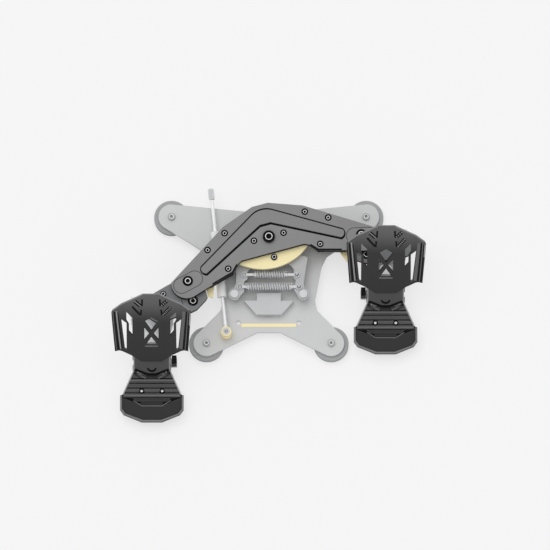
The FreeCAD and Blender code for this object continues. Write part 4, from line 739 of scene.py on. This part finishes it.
@dataclass
class HeelSurface(Surface):
    """The flat top of a heel rest's sheet, measured in front of the pedal's middle.

    Its origin lies on the floor under the brake axis.
    """

    rear_of_axis: float = 87.2
    sheet_top: float = 17.0
    rib_top: float = 19.2
    rim_top: float = 21.5
    skin: float = 0.2
    # How far in front of the middle the grooves and the ribs end.
    groove_end: float = 128.0
    rib_end: float = 130.5

    def spot(self, across: float, up: float, proud: float) -> Vector:
        """Lays the pattern down, its upper end towards the user."""
        return Vector((across, self.rear_of_axis - up, self.sheet_top + proud))

    def paint(self, face: Face) -> int:
        """Picks the finish of a face of the heel rest.

        Args:
            face: A face of the merged copy.

        Returns:
            0 for the dish and slopes, 2 for ribs, 3 for groove floors and walls in black painted shade, 4
            for the rim's top as painted highlight.
        """
        centre = face.calc_center_median()
        level = centre.z / MM
        ahead = self.rear_of_axis - (centre.y - self.origin.y) / MM
        if face.normal.z > LOOKS_UP:
            if level > self.rim_top - self.skin:
                return 4
            if level > self.rib_top - self.skin:
                return 2 if ahead < self.rib_end else 0
            return 3 if level > self.sheet_top - self.skin and ahead < self.groove_end else 0
        wall = self.sheet_top < level < self.rib_top - self.skin
        return 3 if wall and ahead < self.groove_end else 0


@dataclass
class Assembly:
    """A sub-assembly of the pedals: it dresses CAD nodes and adds pieces that ride with them."""

    frame: dict

    def __post_init__(self) -> None:
        """Looks up which body and slot each node has."""
        record = self.frame["record"]
        self.body_of = {
            node: body for body, nodes in record["behaviour"]["bodies"].items() for node in nodes
        }
        self.slot_of = {entry["node"]: entry["material_slot"] for entry in record["subparts"]}
        self.joints = {joint["name"]: joint for joint in self.frame["joints"]}

    def stand_in(self, node: str, mesh: Mesh, finishes: Sequence[Finish]) -> Object:
        """Makes the piece that is shown in place of a CAD node."""
        body, slot = self.body_of[node], self.slot_of[node]
        return add_piece(f"{node}_dressed", mesh, body, finishes, [node], slot)

    def trim(
        self,
        name: str,
        node: str,
        surface: Surface,
        middle: Sequence[Stroke] = (),
        left: Sequence[Stroke] = (),
        right: Sequence[Stroke] = (),
    ) -> None:
        """Lays strokes on a flat pattern and wraps it onto a sheet as one piece.

        Args:
            name: The piece's name.
            node: The CAD node that it rides with.
            surface: The sheet that it lies on.
            middle: Strokes that stay where they are.
            left: Strokes that are mirrored onto the left side.
            right: Strokes of the right side.
        """
        rows = ((1, middle), (-1, left), (1, right))
        finishes = list(dict.fromkeys(stroke.finish for _, row in rows for stroke in row))
        mesh = bmesh.new()
        for way, row in rows:
            for stroke in row:
                stroke.lay(mesh, way, finishes.index(stroke.finish))
        surface.wrap(mesh)
        bmesh.ops.recalc_face_normals(mesh, faces=mesh.faces)
        add_piece(name, mesh, self.body_of[node], finishes)

    def polish(
        self,
        node: str,
        face: Finish,
        edge: Optional[Finish] = None,
        bevel_mm: float = 0.35,
        choice: Optional[FaceChoice] = None,
        others: Sequence[Finish] = (),
    ) -> Object:
        """Shows a CAD solid as a merged copy with bevelled edges and its finishes.

        Args:
            node: The CAD node.
            face: The finish of its faces.
            edge: The finish of the bevels, the same as the faces where left out.
            bevel_mm: The width of the bevels.
            choice: Picks the material number of a face: 0, or from 2 on for the others.
            others: Further finishes that the choice may pick.

        Returns:
            The piece that stands for the node.
        """
        mesh = bmesh.new()
        mesh.from_mesh(self.frame["nodes"][node].data)
        bmesh.ops.remove_doubles(mesh, verts=mesh.verts, dist=WELD_M)
        flat = math.radians(FLAT_DEGREES)
        bmesh.ops.dissolve_limit(mesh, angle_limit=flat, verts=mesh.verts, edges=mesh.edges)
        for item in mesh.faces:
            item.material_index = choice(item) if choice else 0
        soften(mesh)
        finishes = [face, edge or face, *others]
        piece = self.stand_in(node, mesh, finishes)
        if bevel_mm:
            bevel = piece.modifiers.new("edge_break", "BEVEL")
            bevel.width = bevel_mm * MM
            bevel.segments = 2
            bevel.limit_method = "ANGLE"
            bevel.angle_limit = math.radians(BEVEL_DEGREES)
            bevel.use_clamp_overlap = True
            bevel.harden_normals = True
            # The bevels take the edge finish: a painted highlight on most parts, painted shade on the arm,
            # the base and the toe bolts.
            bevel.material = 1 if edge else -1
        return piece

    def polish_all(self, rows: Sequence[tuple[str, Finish, Optional[Finish], float]]) -> None:
        """Polishes nodes that need no choice: node, faces, bevels and the bevels' width."""
        for row in rows:
            self.polish(*row)

    def screws(
        self,
        node: str,
        shape: SocketScrew,
        finishes: Sequence[Finish] = (BLACK_OXIDE, SOCKET_RING_HIGHLIGHT, SHADE_BLACK),
    ) -> None:
        """Replaces a node of upright screws with detailed ones in the same places.

        Args:
            node: The CAD node; solids lower than the screws' heads, such as clips, become turned rings.
            shape: The screw to build.
            finishes: The finishes of its head, the ring's painted highlight and the socket's painted shade.
        """
        mesh = bmesh.new()
        for low, high in islands(self.frame["nodes"][node]):
            centre = (low + high) / 2
            if high.z - low.z < shape.head_high * MM:
                place = Matrix.Translation((centre.x, centre.y, low.z))
                outer, tall = (high.x - low.x) / 2 / MM, (high.z - low.z) / MM
                inner, top = outer - CLIP_CHAMFER, tall - CLIP_CHAMFER
                turned(mesh, [(inner, 0), (outer, CLIP_CHAMFER), (outer, top), (inner, tall)], place)
                continue
            place = Matrix.Translation((centre.x, centre.y, high.z))
            shape.build(mesh, place, (high.x - low.x) / 2 / MM, (high.z - low.z) / MM)
        soften(mesh)
        self.stand_in(node, mesh, finishes)


@dataclass
class BaseAssembly(Assembly):
    """The base: plate, feet, hub, cover, stop, bolts and the bar on its front edge."""

    foot_profile: tuple[Spot, ...] = (
        (20.5, 0.0), (23.6, 0.0), (25.0, 0.9), (25.3, 2.0), (25.3, 4.4), (24.5, 5.0), (24.5, 6.2),
        (25.3, 6.8), (25.3, 11.2), (24.7, 12.0),
    )
    washer_profile: tuple[Spot, ...] = (
        (7.2, -0.4), (7.2, 0.2), (6.9, 0.5), (5.6, 0.5), (5.6, 0.8), (5.2, 1.1), (3.0, 1.1), (2.6, 0.8),
        (1.4, 0.8), (1.1, 1.0),
    )
    washer_paints: tuple[int, ...] = (0, 0, 0, 0, 1, 1, 1, 2, 2, 1)

    def feet(self) -> None:
        """Turns each rubber foot with a groove round its middle."""
        mesh = bmesh.new()
        for low, high in islands(self.frame["nodes"]["rubber_feet"]):
            centre = (low + high) / 2
            turned(mesh, self.foot_profile, Matrix.Translation((centre.x, centre.y, low.z)), segments=72)
        soften(mesh)
        self.stand_in("rubber_feet", mesh, [GREY_RUBBER])

    def damper_washer(self) -> None:
        """Turns the gold washer on the damper bolt's head, with a painted highlight on its raised ring and
        button and grey painted shade in the recess between.
        """
        low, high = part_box("damper_bolt")
        place = Matrix.Translation(((low[0] + high[0]) / 2, (low[1] + high[1]) / 2, high[2]))
        mesh = bmesh.new()
        turned(mesh, self.washer_profile, place, segments=64, paints=self.washer_paints)
        soften(mesh)
        finishes = [CHAMPAGNE, FITTING_EDGE_HIGHLIGHT, SOCKET_SHADE_GREY]
        add_piece("damper_washer", mesh, self.body_of["damper_bolt"], finishes)

    def build(self) -> None:
        """Dresses the whole base."""
        self.polish_all([
            ("base_plate", BASE_SILVER, BASE_EDGE_SHADE, 0.6),
            ("front_trim_bar", CHAMPAGNE, CHAMPAGNE_EDGE_HIGHLIGHT, 0.25),
            ("pivot_hub", FITTING_SILVER, FITTING_EDGE_HIGHLIGHT, 0.4),
            ("pivot_bearings", BRIGHT_STEEL, None, 0.3),
            ("encoder_board", SOLDER_MASK, None, 0.0),
            ("control_board", SOLDER_MASK, None, 0.0),
            ("electronics_cover", GREY_ABS, GREY_ABS_EDGE_HIGHLIGHT, 0.7),
            ("usb_socket", BRIGHT_STEEL, None, 0.15),
            ("jaw_bolts", BRIGHT_STEEL, None, 0.4),
            ("jaw_stop", FITTING_SILVER, FITTING_EDGE_HIGHLIGHT, 0.4),
            ("damper_bolt", CHAMPAGNE, CHAMPAGNE_EDGE_HIGHLIGHT, 0.5),
        ])
        silver = (FITTING_SILVER, SOCKET_RING_HIGHLIGHT, SOCKET_SHADE_GREY)
        self.screws("foot_screws", SocketScrew(4.0, 3.0), silver)
        self.screws("hub_screws", SocketScrew(3.0, 2.0), silver)
        self.feet()
        self.damper_washer()


@dataclass
class ArmAssembly(Assembly):
    """The swinging arm: plate, inlay band, caps, cam, brackets, carriers and screws."""

    plate_top: float = 62.0
    bracket_top: float = 52.0
    skin: float = 0.05
    # The front edges of both limbs, where a black band of painted shade stands for the shaded walls below
    # the rim, left to right.
    rims: tuple[tuple[Spot, ...], ...] = (
        ((-81.1, 22.2), (-58.9, 35.9), (-51.8, 39.9), (-45.2, 52.0)),
        ((59.6, 81.1), (71.7, 73.8), (105.9, 73.7)),
    )
    rim_wide: float = 2.1
    rim_proud: float = 0.1

    def rim_lines(self) -> None:
        """Lays a black band of painted shade along the front edges of both limbs."""
        strokes = []
        for corners in self.rims:
            for start, stop in zip(corners, corners[1:]):
                first, last = Vector(start), Vector(stop)
                run = (last - first).normalized()
                inward = Vector((-run.y, run.x)) * (self.rim_wide / 2 + self.skin)
                ends = tuple(first + inward), tuple(last + inward)
                strokes.append(Stroke(*ends, self.rim_wide, SHADE_BLACK, self.rim_proud))
        plate = Surface(Vector((0, 0, self.plate_top * MM)))
        self.trim("limb_rim_painted_shade", "arm_plate", plate, strokes)

    def top_with_shaded_sides(self, height: float) -> FaceChoice:
        """Picks the face finish at a height, and black painted shade everywhere else.

        Args:
            height: The height of the top face in millimetres.

        Returns:
            The chooser for polish.
        """

        def choose(face: Face) -> int:
            """0 on the top face and 2, black painted shade, on the sides and groove floors."""
            level = face.calc_center_median().z / MM
            return 0 if face.normal.z > LOOKS_UP and level > height - self.skin else 2

        return choose

    def build(self) -> None:
        """Dresses the whole arm."""
        top = self.top_with_shaded_sides(self.plate_top)
        low = self.top_with_shaded_sides(self.bracket_top)
        for node, grey, bevel, choice in (
            ("arm_plate", ARM_GREY, 0.35, top),
            ("end_caps", ARM_GREY, 0.25, top),
            ("end_brackets", BRACKET_GREY, 0.4, low),
            ("pedal_carriers", BRACKET_GREY, 0.4, low),
        ):
            self.polish(node, grey, ARM_EDGE_SHADE, bevel, choice, [SHADE_BLACK])
        self.polish_all([
            ("arm_inlay", INLAY_GREY, ARM_EDGE_SHADE, 0.3),
            # The spars under the limbs are painted black as shade.
            ("limb_spars", SHADE_BLACK, None, 0.4),
            ("cam_plate", CHAMPAGNE, CHAMPAGNE_EDGE_HIGHLIGHT, 0.5),
            ("end_blocks", CHAMPAGNE, CHAMPAGNE_EDGE_HIGHLIGHT, 0.4),
            ("cam_roller", BRIGHT_STEEL, None, 0.5),
            ("pivot_shaft", BRIGHT_STEEL, None, 0.4),
            ("encoder_magnet", MAGNET, None, 0.2),
            ("damper_trunnion", BRIGHT_STEEL, None, 0.3),
        ])
        self.rim_lines()
        self.screws("arm_screws", SocketScrew(3.0, 2.5))
        self.screws("end_screws", SocketScrew(4.5, 4.0))
        self.screws("centre_bolt", SocketScrew(6.0, 4.0, ring_outer=0.6, ring_inner=0.5, sunk=3.5))


class JawAssembly(Assembly):
    """The pair of jaws and the coil springs that pull them together."""

    def build(self) -> None:
        """Dresses jaws, coils and eyes."""
        for side in Side:
            self.polish(f"{side.value}_jaw", JAW_SILVER, FITTING_EDGE_HIGHLIGHT, 0.5)
        for row in ("upper", "lower"):
            self.polish(f"{row}_spring", SPRING_STEEL, None, 0.0)
            self.polish(f"{row}_spring_eyes", BRIGHT_STEEL, None, 0.3)


@dataclass
class DamperAssembly(Assembly):
    """The damper: rod with its eye, cylinder and knurled knob."""

    eye_reach: float = 9.0
    knob_start: float = 198.0
    knob_long: float = 16.5
    knob_radius: float = 4.4
    knurl_depth: float = 0.35
    knurls: int = 28
    shoulder: float = 2.6
    knob_chamfer: float = 0.9
    knurl_ramp: float = 0.3

    def __post_init__(self) -> None:
        """Looks up bodies, slots and the rod's line."""
        super().__post_init__()
        self.foot = Vector(self.joints["damper_pivot"]["pos_m"])
        along = Vector(self.joints["damper_stroke"]["axis"]).normalized()
        self.line = Matrix.Translation(self.foot) @ along.to_track_quat("Z", "Y").to_matrix().to_4x4()

    def knob(self) -> None:
        """Turns the knob, with a knurled band between two plain shoulders."""
        mesh = bmesh.new()
        start, stop, radius = self.knob_start, self.knob_start + self.knob_long, self.knob_radius
        plain = radius - self.knurl_depth
        rounded, ramp = self.knob_chamfer, self.knurl_ramp
        low, high = start + self.shoulder, stop - self.shoulder
        profile = [
            (plain - rounded, start), (plain, start + rounded), (plain, low), (radius, low + ramp),
            (radius, high - ramp), (plain, high), (plain, stop - rounded), (plain - rounded, stop),
        ]
        segments = self.knurls * 2

        def knurl(point: Vector) -> Vector:
            """Sinks every second line of the knurled band."""
            line = round(math.atan2(point.y, point.x) / math.tau * segments) % 2
            return drawn_in(point, radius, plain / radius if line else 1.0)

        turned(mesh, profile, self.line, segments, press=knurl)
        for face in mesh.faces:
            face.smooth = False
        self.stand_in("damper_knob", mesh, [BRIGHT_STEEL])

    def eye_or_rod(self, face: Face) -> int:
        """Champagne on the eye at the foot of the rod and chrome on the rod."""
        near = (face.calc_center_median() - self.foot).length < self.eye_reach * MM
        return 2 if near else 0

    def build(self) -> None:
        """Dresses the damper."""
        self.polish("damper_rod", CHROME, None, 0.3, self.eye_or_rod, [CHAMPAGNE])
        self.polish("damper_cylinder", LINK_SILVER_PAINTED_LIGHT, FITTING_EDGE_HIGHLIGHT, 0.5)
        self.knob()


@dataclass
class PedalAssembly(Assembly):
    """One pedal: slides, frame, heel rest, brake and toe plate with its ridges and marks."""

    side: Side
    # On the wings of the toe plate, seen from the user: a sharp ridge on the left one, drawn as a painted
    # highlight on its crest with black painted shade beside it.
    left_wing: tuple[Stroke, ...] = (
        Stroke((50.3, 109.5), (44.7, 29.0), 2.3, PEDAL_RIDGE_HIGHLIGHT, 1.0, 0.4),
        Stroke((53.1, 108.5), (47.7, 29.0), 2.3),
        Stroke((48.2, 106.0), (42.6, 30.0), 1.5),
        Stroke((55.4, 107.0), (50.8, 29.5), 1.5, PEDAL_BAND_HIGHLIGHT, 0.5, 0.2),
        Stroke((56.4, 104.0), (52.3, 29.5), 1.2),
    )
    # A broad pale band and a rim on the right one, both painted highlights, with black painted shade
    # between.
    right_wing: tuple[Stroke, ...] = (
        Stroke((47.4, 108.0), (42.2, 29.0), 5.0, PEDAL_BAND_HIGHLIGHT, 0.7, 0.3),
        Stroke((51.1, 108.5), (46.2, 29.0), 2.2),
        Stroke((53.0, 108.0), (48.6, 29.0), 1.5, PEDAL_BAND_HIGHLIGHT, 0.5, 0.2),
        Stroke((54.6, 107.0), (50.8, 29.5), 1.8),
        Stroke((56.3, 107.5), (55.0, 84.0), 1.9, PEDAL_RIDGE_HIGHLIGHT, 0.6, 0.2),
    )
    # Grip marks near the top: furrows in black painted shade, with one pale crest, a painted highlight, on
    # the left side.
    left_marks: tuple[Stroke, ...] = (
        Stroke((13.0, 127.0), (13.4, 115.8), 2.5),
        Stroke((22.6, 125.4), (13.6, 116.8), 2.2),
        Stroke((24.6, 122.2), (16.6, 114.4), 2.2),
        Stroke((23.8, 124.2), (15.4, 116.0), 0.9, PEDAL_RIDGE_HIGHLIGHT, 0.4),
        Stroke((27.5, 115.4), (16.2, 100.4), 3.2),
        Stroke((14.3, 109.6), (15.2, 99.0), 2.5),
    )
    right_marks: tuple[Stroke, ...] = (
        Stroke((12.5, 127.0), (12.9, 115.8), 2.5),
        Stroke((23.0, 125.2), (14.4, 116.6), 5.2, SHADE_BLACK, 0.4),
        Stroke((14.3, 109.6), (15.2, 99.4), 2.5),
        Stroke((27.2, 113.8), (16.8, 99.8), 5.2, SHADE_BLACK, 0.4),
    )
    # Pale bars, painted highlights, across the two dark bands of painted shade on the right side: start,
    # stop and count.
    hatches: tuple[tuple[Spot, Spot, int], ...] = (
        ((15.2, 117.4), (22.4, 124.6), 4), ((17.4, 100.8), (26.6, 113.0), 6)
    )
    # On each side of the heel rest, pale lines are painted highlights and black is painted shade: the pale
    # rail, a crest and a furrow beside the tongue, the corner's gusset with its line, and the slanting end
    # of the dish's line.
    heel_strokes: tuple[Stroke, ...] = (
        Stroke((26.2, 90.4), (41.8, 125.4), 1.9, HEEL_RAIL_HIGHLIGHT, 2.5, 0.2),
        Stroke((21.0, 94.2), (9.4, 101.8), 1.0, HEEL_EDGE_HIGHLIGHT, 2.5),
        Stroke((24.6, 96.4), (13.4, 103.0), 0.9, SHADE_BLACK, 2.4),
        Stroke((27.2, 92.4), (19.0, 92.4), 6.2, HEEL_CHARCOAL, 0.1),
        Stroke((25.8, 90.6), (20.6, 94.4), 0.7, HEEL_EDGE_HIGHLIGHT, 0.3),
        Stroke((14.6, 142.3), (27.0, 134.6), 0.8, HEEL_EDGE_HIGHLIGHT, 2.35),
    )
    # Across the heel rest: three crests and the dish's line, all painted highlights, the dark tongue and
    # the floor of the dish.
    heel_lines: tuple[Stroke, ...] = (
        Stroke((-31.6, 104.6), (31.6, 104.6), 1.0, HEEL_EDGE_HIGHLIGHT, 2.35),
        Stroke((-38.0, 119.0), (38.0, 119.0), 0.8, PEDAL_BAND_HIGHLIGHT, 2.3),
        Stroke((-40.4, 126.8), (40.4, 126.8), 1.1, HEEL_EDGE_HIGHLIGHT, 2.4),
        Stroke((-8.0, 99.4), (8.0, 99.4), 5.4, HEEL_CHARCOAL, 2.4),
        Stroke((-16.0, 138.4), (16.0, 138.4), 4.6, HEEL_CHARCOAL, 0.1),
        Stroke((-14.6, 142.3), (14.6, 142.3), 0.9, HEEL_EDGE_HIGHLIGHT, 2.35),
    )
    # Painted shade in black along the neck's lower edge, and a painted highlight on its side rail.
    neck_strokes: tuple[Stroke, ...] = (
        Stroke((24.7, 7.0), (6.6, -3.5), 4.9, SHADE_BLACK, 0.12),
        Stroke((25.6, 5.0), (25.6, 43.0), 1.6, NECK_RAIL_HIGHLIGHT, 0.0, 0.0, 2.4),
    )
    # The point of the same painted shade under the middle of the neck.
    neck_tip: Stroke = Stroke((-7.2, -3.6), (7.2, -3.6), 4.8, SHADE_BLACK, 0.12)
    # Half width, height and middle of the neck's crescent, and its width at the tips and what it gains.
    crescent: tuple[float, float, float] = (6.0, 8.2, 11.5)
    crescent_wide: tuple[float, float] = (2.0, 2.4)
    crescent_start: float = 190.0
    crescent_sweep: float = 160.0
    crescent_steps: int = 12
    heel_screw: SocketScrew = SocketScrew(
        2.4, 2.0, ring_outer=0.56, ring_inner=0.5, hexagon=0.48, sunk=0.6, floor_paint=1
    )
    hatch_half: float = 1.3
    hatch_wide: float = 0.9
    hatch_proud: float = 0.65

    def __post_init__(self) -> None:
        """Looks up bodies, slots and the brake axis."""
        super().__post_init__()
        origin = Vector(self.joints[f"{self.side.value}_toe_brake"]["pos_m"])
        self.toe = ToeSurface(origin)
        self.neck = NeckSurface(origin)
        self.heel = HeelSurface(Vector((origin.x, origin.y, 0)))

    def node(self, rest: str) -> str:
        """The name of this side's CAD node or body."""
        return f"{self.side.value}_{rest}"

    def hatch_bars(self) -> list[Stroke]:
        """Makes the pale bars, painted highlights, that cross the two dark bands of painted shade on the
        right side.

        Returns:
            The bars.
        """
        bars = []
        for start, stop, count in self.hatches:
            first, run = Vector(start), Vector(stop) - Vector(start)
            across = Vector((-run.y, run.x)).normalized() * self.hatch_half
            for index in range(count):
                spot = first + run * index / (count - 1)
                ends = tuple(spot - across), tuple(spot + across)
                bars.append(Stroke(*ends, self.hatch_wide, PEDAL_RIDGE_HIGHLIGHT, self.hatch_proud))
        return bars

    def crescent_strokes(self) -> list[Stroke]:
        """Makes the dark crescent of the neck, broadest at its lowest point.

        Returns:
            Strokes along it, each a tenth of a step into its neighbours.
        """
        wide, high, middle = self.crescent
        thin, gain = self.crescent_wide
        step = self.crescent_sweep / self.crescent_steps
        strokes = []
        for index in range(self.crescent_steps):
            start, centre, stop = (
                math.radians(self.crescent_start + step * (index + share)) for share in (-0.1, 0.5, 1.1)
            )
            ends = ((wide * math.cos(turn), middle + high * math.sin(turn)) for turn in (start, stop))
            depth = max(-math.sin(centre), 0.0)
            strokes.append(Stroke(*ends, thin + gain * depth ** 2))
        return strokes

    def build(self) -> None:
        """Dresses one pedal."""
        self.polish_all([
            (self.node("swivel_head"), LINK_SILVER_PAINTED_LIGHT, FITTING_EDGE_HIGHLIGHT, 0.6),
            (self.node("slide_rods"), BRIGHT_STEEL, None, 0.5),
            (self.node("pedal_frame"), LINK_SILVER_PAINTED_LIGHT, FITTING_EDGE_HIGHLIGHT, 0.4),
            (self.node("brake_sensor"), BLACK_ABS, None, 0.5),
            (self.node("brake_cylinder"), LINK_SILVER_PAINTED_LIGHT, FITTING_EDGE_HIGHLIGHT, 0.5),
            (self.node("brake_plunger"), BRIGHT_STEEL, None, 0.2),
            (self.node("toe_bolts"), LINK_SILVER_PAINTED_LIGHT, SHADE_BLACK, 0.9),
        ])
        # Rib tops, black painted shade in the grooves, and a painted highlight on the rim's top.
        ribs = [HEEL_RIB, SHADE_BLACK, HEEL_EDGE_HIGHLIGHT]
        self.polish(self.node("heel_rest"), HEEL_CHARCOAL, HEEL_EDGE_HIGHLIGHT, 0.5, self.heel.paint, ribs)
        self.screws(self.node("heel_screws"), self.heel_screw)
        # Black painted shade on the walls, and a painted highlight on walls that look up.
        walls = [SHADE_BLACK, PEDAL_RIM_HIGHLIGHT]
        for rest, coat in (("toe_neck", NECK_CHARCOAL), ("toe_plate", PEDAL_CHARCOAL)):
            self.polish(self.node(rest), coat, PEDAL_EDGE_HIGHLIGHT, 0.4, self.toe.paint, walls)
        toe, heel = self.node("toe_plate"), self.node("heel_rest")
        crescent = [*self.crescent_strokes(), self.neck_tip]
        for name, node, surface, *strokes in (
            ("wing_ridges", toe, self.toe, (), self.left_wing, self.right_wing),
            ("grip_marks", toe, self.toe, self.hatch_bars(), self.left_marks, self.right_marks),
            ("neck_trim", toe, self.neck, crescent, self.neck_strokes, self.neck_strokes),
            ("heel_trim", heel, self.heel, self.heel_lines, self.heel_strokes, self.heel_strokes),
        ):
            self.trim(self.node(name), node, surface, *strokes)


@dataclass
class Studio:
    """The plain room: pale floor, soft light and the camera of the photograph."""

    photo_pixels: float = 550.0
    pixel_mm: float = 1.45
    bolt_pixel: tuple[float, float] = (268.8, 236.1)
    bolt_top: tuple[float, float, float] = (0.0, 93.05, 68.0)
    elevation_degrees: float = 78.0
    distance_m: float = 18.0
    sensor_mm: float = 36.0
    floor_colour: str = "#f5f5f5"
    floor_glow: float = 0.7
    floor_half_m: float = 20.0
    floor_gap_m: float = 0.0002
    dome_strength: float = 0.62
    lamp_share: float = 0.42
    lamp_spread_degrees: float = 50.0
    lamp_tilt_degrees: tuple[float, float, float] = (-14.0, -8.0, 0.0)
    clip_m: tuple[float, float] = (0.1, 200.0)

    def camera(self) -> None:
        """Stands the camera so that the centre bolt falls on its pixel in the photograph."""
        elevation = math.radians(self.elevation_degrees)
        back = Vector((0, -math.cos(elevation), math.sin(elevation)))
        up = Vector((0, math.sin(elevation), math.cos(elevation)))
        middle = self.photo_pixels / 2
        aside = (middle - self.bolt_pixel[0]) * self.pixel_mm * MM
        below = (middle - self.bolt_pixel[1]) * self.pixel_mm * MM
        target = Vector(self.bolt_top) * MM + Vector((aside, 0, 0)) - up * below
        data = bpy.data.cameras.new("photo_camera")
        data.sensor_width = self.sensor_mm
        data.lens = self.sensor_mm * self.distance_m / (self.photo_pixels * self.pixel_mm * MM)
        camera = bpy.data.objects.new("photo_camera", data)
        bpy.context.scene.collection.objects.link(camera)
        camera.location = target + back * self.distance_m
        camera.rotation_euler = (-back).to_track_quat("-Z", "Y").to_euler()
        data.clip_start, data.clip_end = self.clip_m
        bpy.context.scene.camera = camera

    def seen(self, tree: Tree) -> Socket:
        """Tells rays of the camera, reflections and glass from rays of light.

        Args:
            tree: The node tree to add to.

        Returns:
            A socket that is 1 for what is seen and 0 for light.
        """
        path = add_node(tree, "LightPath")
        known = path.outputs["Is Camera Ray"]
        for kind in ("Is Glossy Ray", "Is Transmission Ray"):
            sockets = {0: known, 1: path.outputs[kind]}
            known = add_node(tree, "Math", {"operation": "MAXIMUM"}, sockets).outputs[0]
        return known

    def floor(self) -> None:
        """Lays a wide matt floor under the feet."""
        mesh = bmesh.new()
        bmesh.ops.create_grid(mesh, x_segments=1, y_segments=1, size=self.floor_half_m)
        bmesh.ops.translate(mesh, verts=mesh.verts, vec=(0, 0, -self.floor_gap_m))
        material = bpy.data.materials.new("matt_floor_paper")
        tree = empty_tree(material)
        colour = linear(self.floor_colour)
        paper = add_node(tree, "BsdfDiffuse", {"Color": colour})
        glow = add_node(tree, "Emission", {"Color": colour, "Strength": 1.0})
        seen = self.seen(tree)
        share = add_node(tree, "Math", {"operation": "MULTIPLY", 1: self.floor_glow}, {0: seen})
        parts = {0: share.outputs[0], 1: paper.outputs["BSDF"], 2: glow.outputs["Emission"]}
        mixed = add_node(tree, "MixShader", links=parts)
        add_node(tree, "OutputMaterial", links={"Surface": mixed.outputs[0]})
        floor = add_mesh("studio_floor", mesh, [material])

    def light(self) -> None:
        """Hangs a broad soft lamp overhead in an evenly lit dome."""
        world = bpy.data.worlds.new("studio_dome")
        bpy.context.scene.world = world
        tree = empty_tree(world)
        dome = add_node(tree, "Background", {"Color": (1, 1, 1, 1), "Strength": self.dome_strength})
        sky = add_node(tree, "Background", {"Color": linear(self.floor_colour), "Strength": 1.0})
        parts = {0: self.seen(tree), 1: dome.outputs[0], 2: sky.outputs[0]}
        mixed = add_node(tree, "MixShader", links=parts)
        add_node(tree, "OutputWorld", links={"Surface": mixed.outputs[0]})
        lamp = bpy.data.lights.new("overhead_softbox", "SUN")
        lamp.energy = self.lamp_share * math.pi
        lamp.angle = math.radians(self.lamp_spread_degrees)
        holder = bpy.data.objects.new("overhead_softbox", lamp)
        bpy.context.scene.collection.objects.link(holder)
        holder.rotation_euler = [math.radians(turn) for turn in self.lamp_tilt_degrees]
        holder.visible_glossy = False

    def build(self) -> None:
        """Sets up floor, light, camera and colour view."""
        bpy.context.scene.view_settings.view_transform = "Standard"
        self.floor()
        self.light()
        self.camera()


def main() -> None:
    """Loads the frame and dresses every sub-assembly."""
    logging.basicConfig(level=logging.INFO, format="%(name)s: %(message)s")
    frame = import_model()
    Studio().build()
    BaseAssembly(frame).build()
    ArmAssembly(frame).build()
    JawAssembly(frame).build()
    DamperAssembly(frame).build()
    for side in Side:
        PedalAssembly(frame, side).build()


if __name__ == "__main__":
    main()
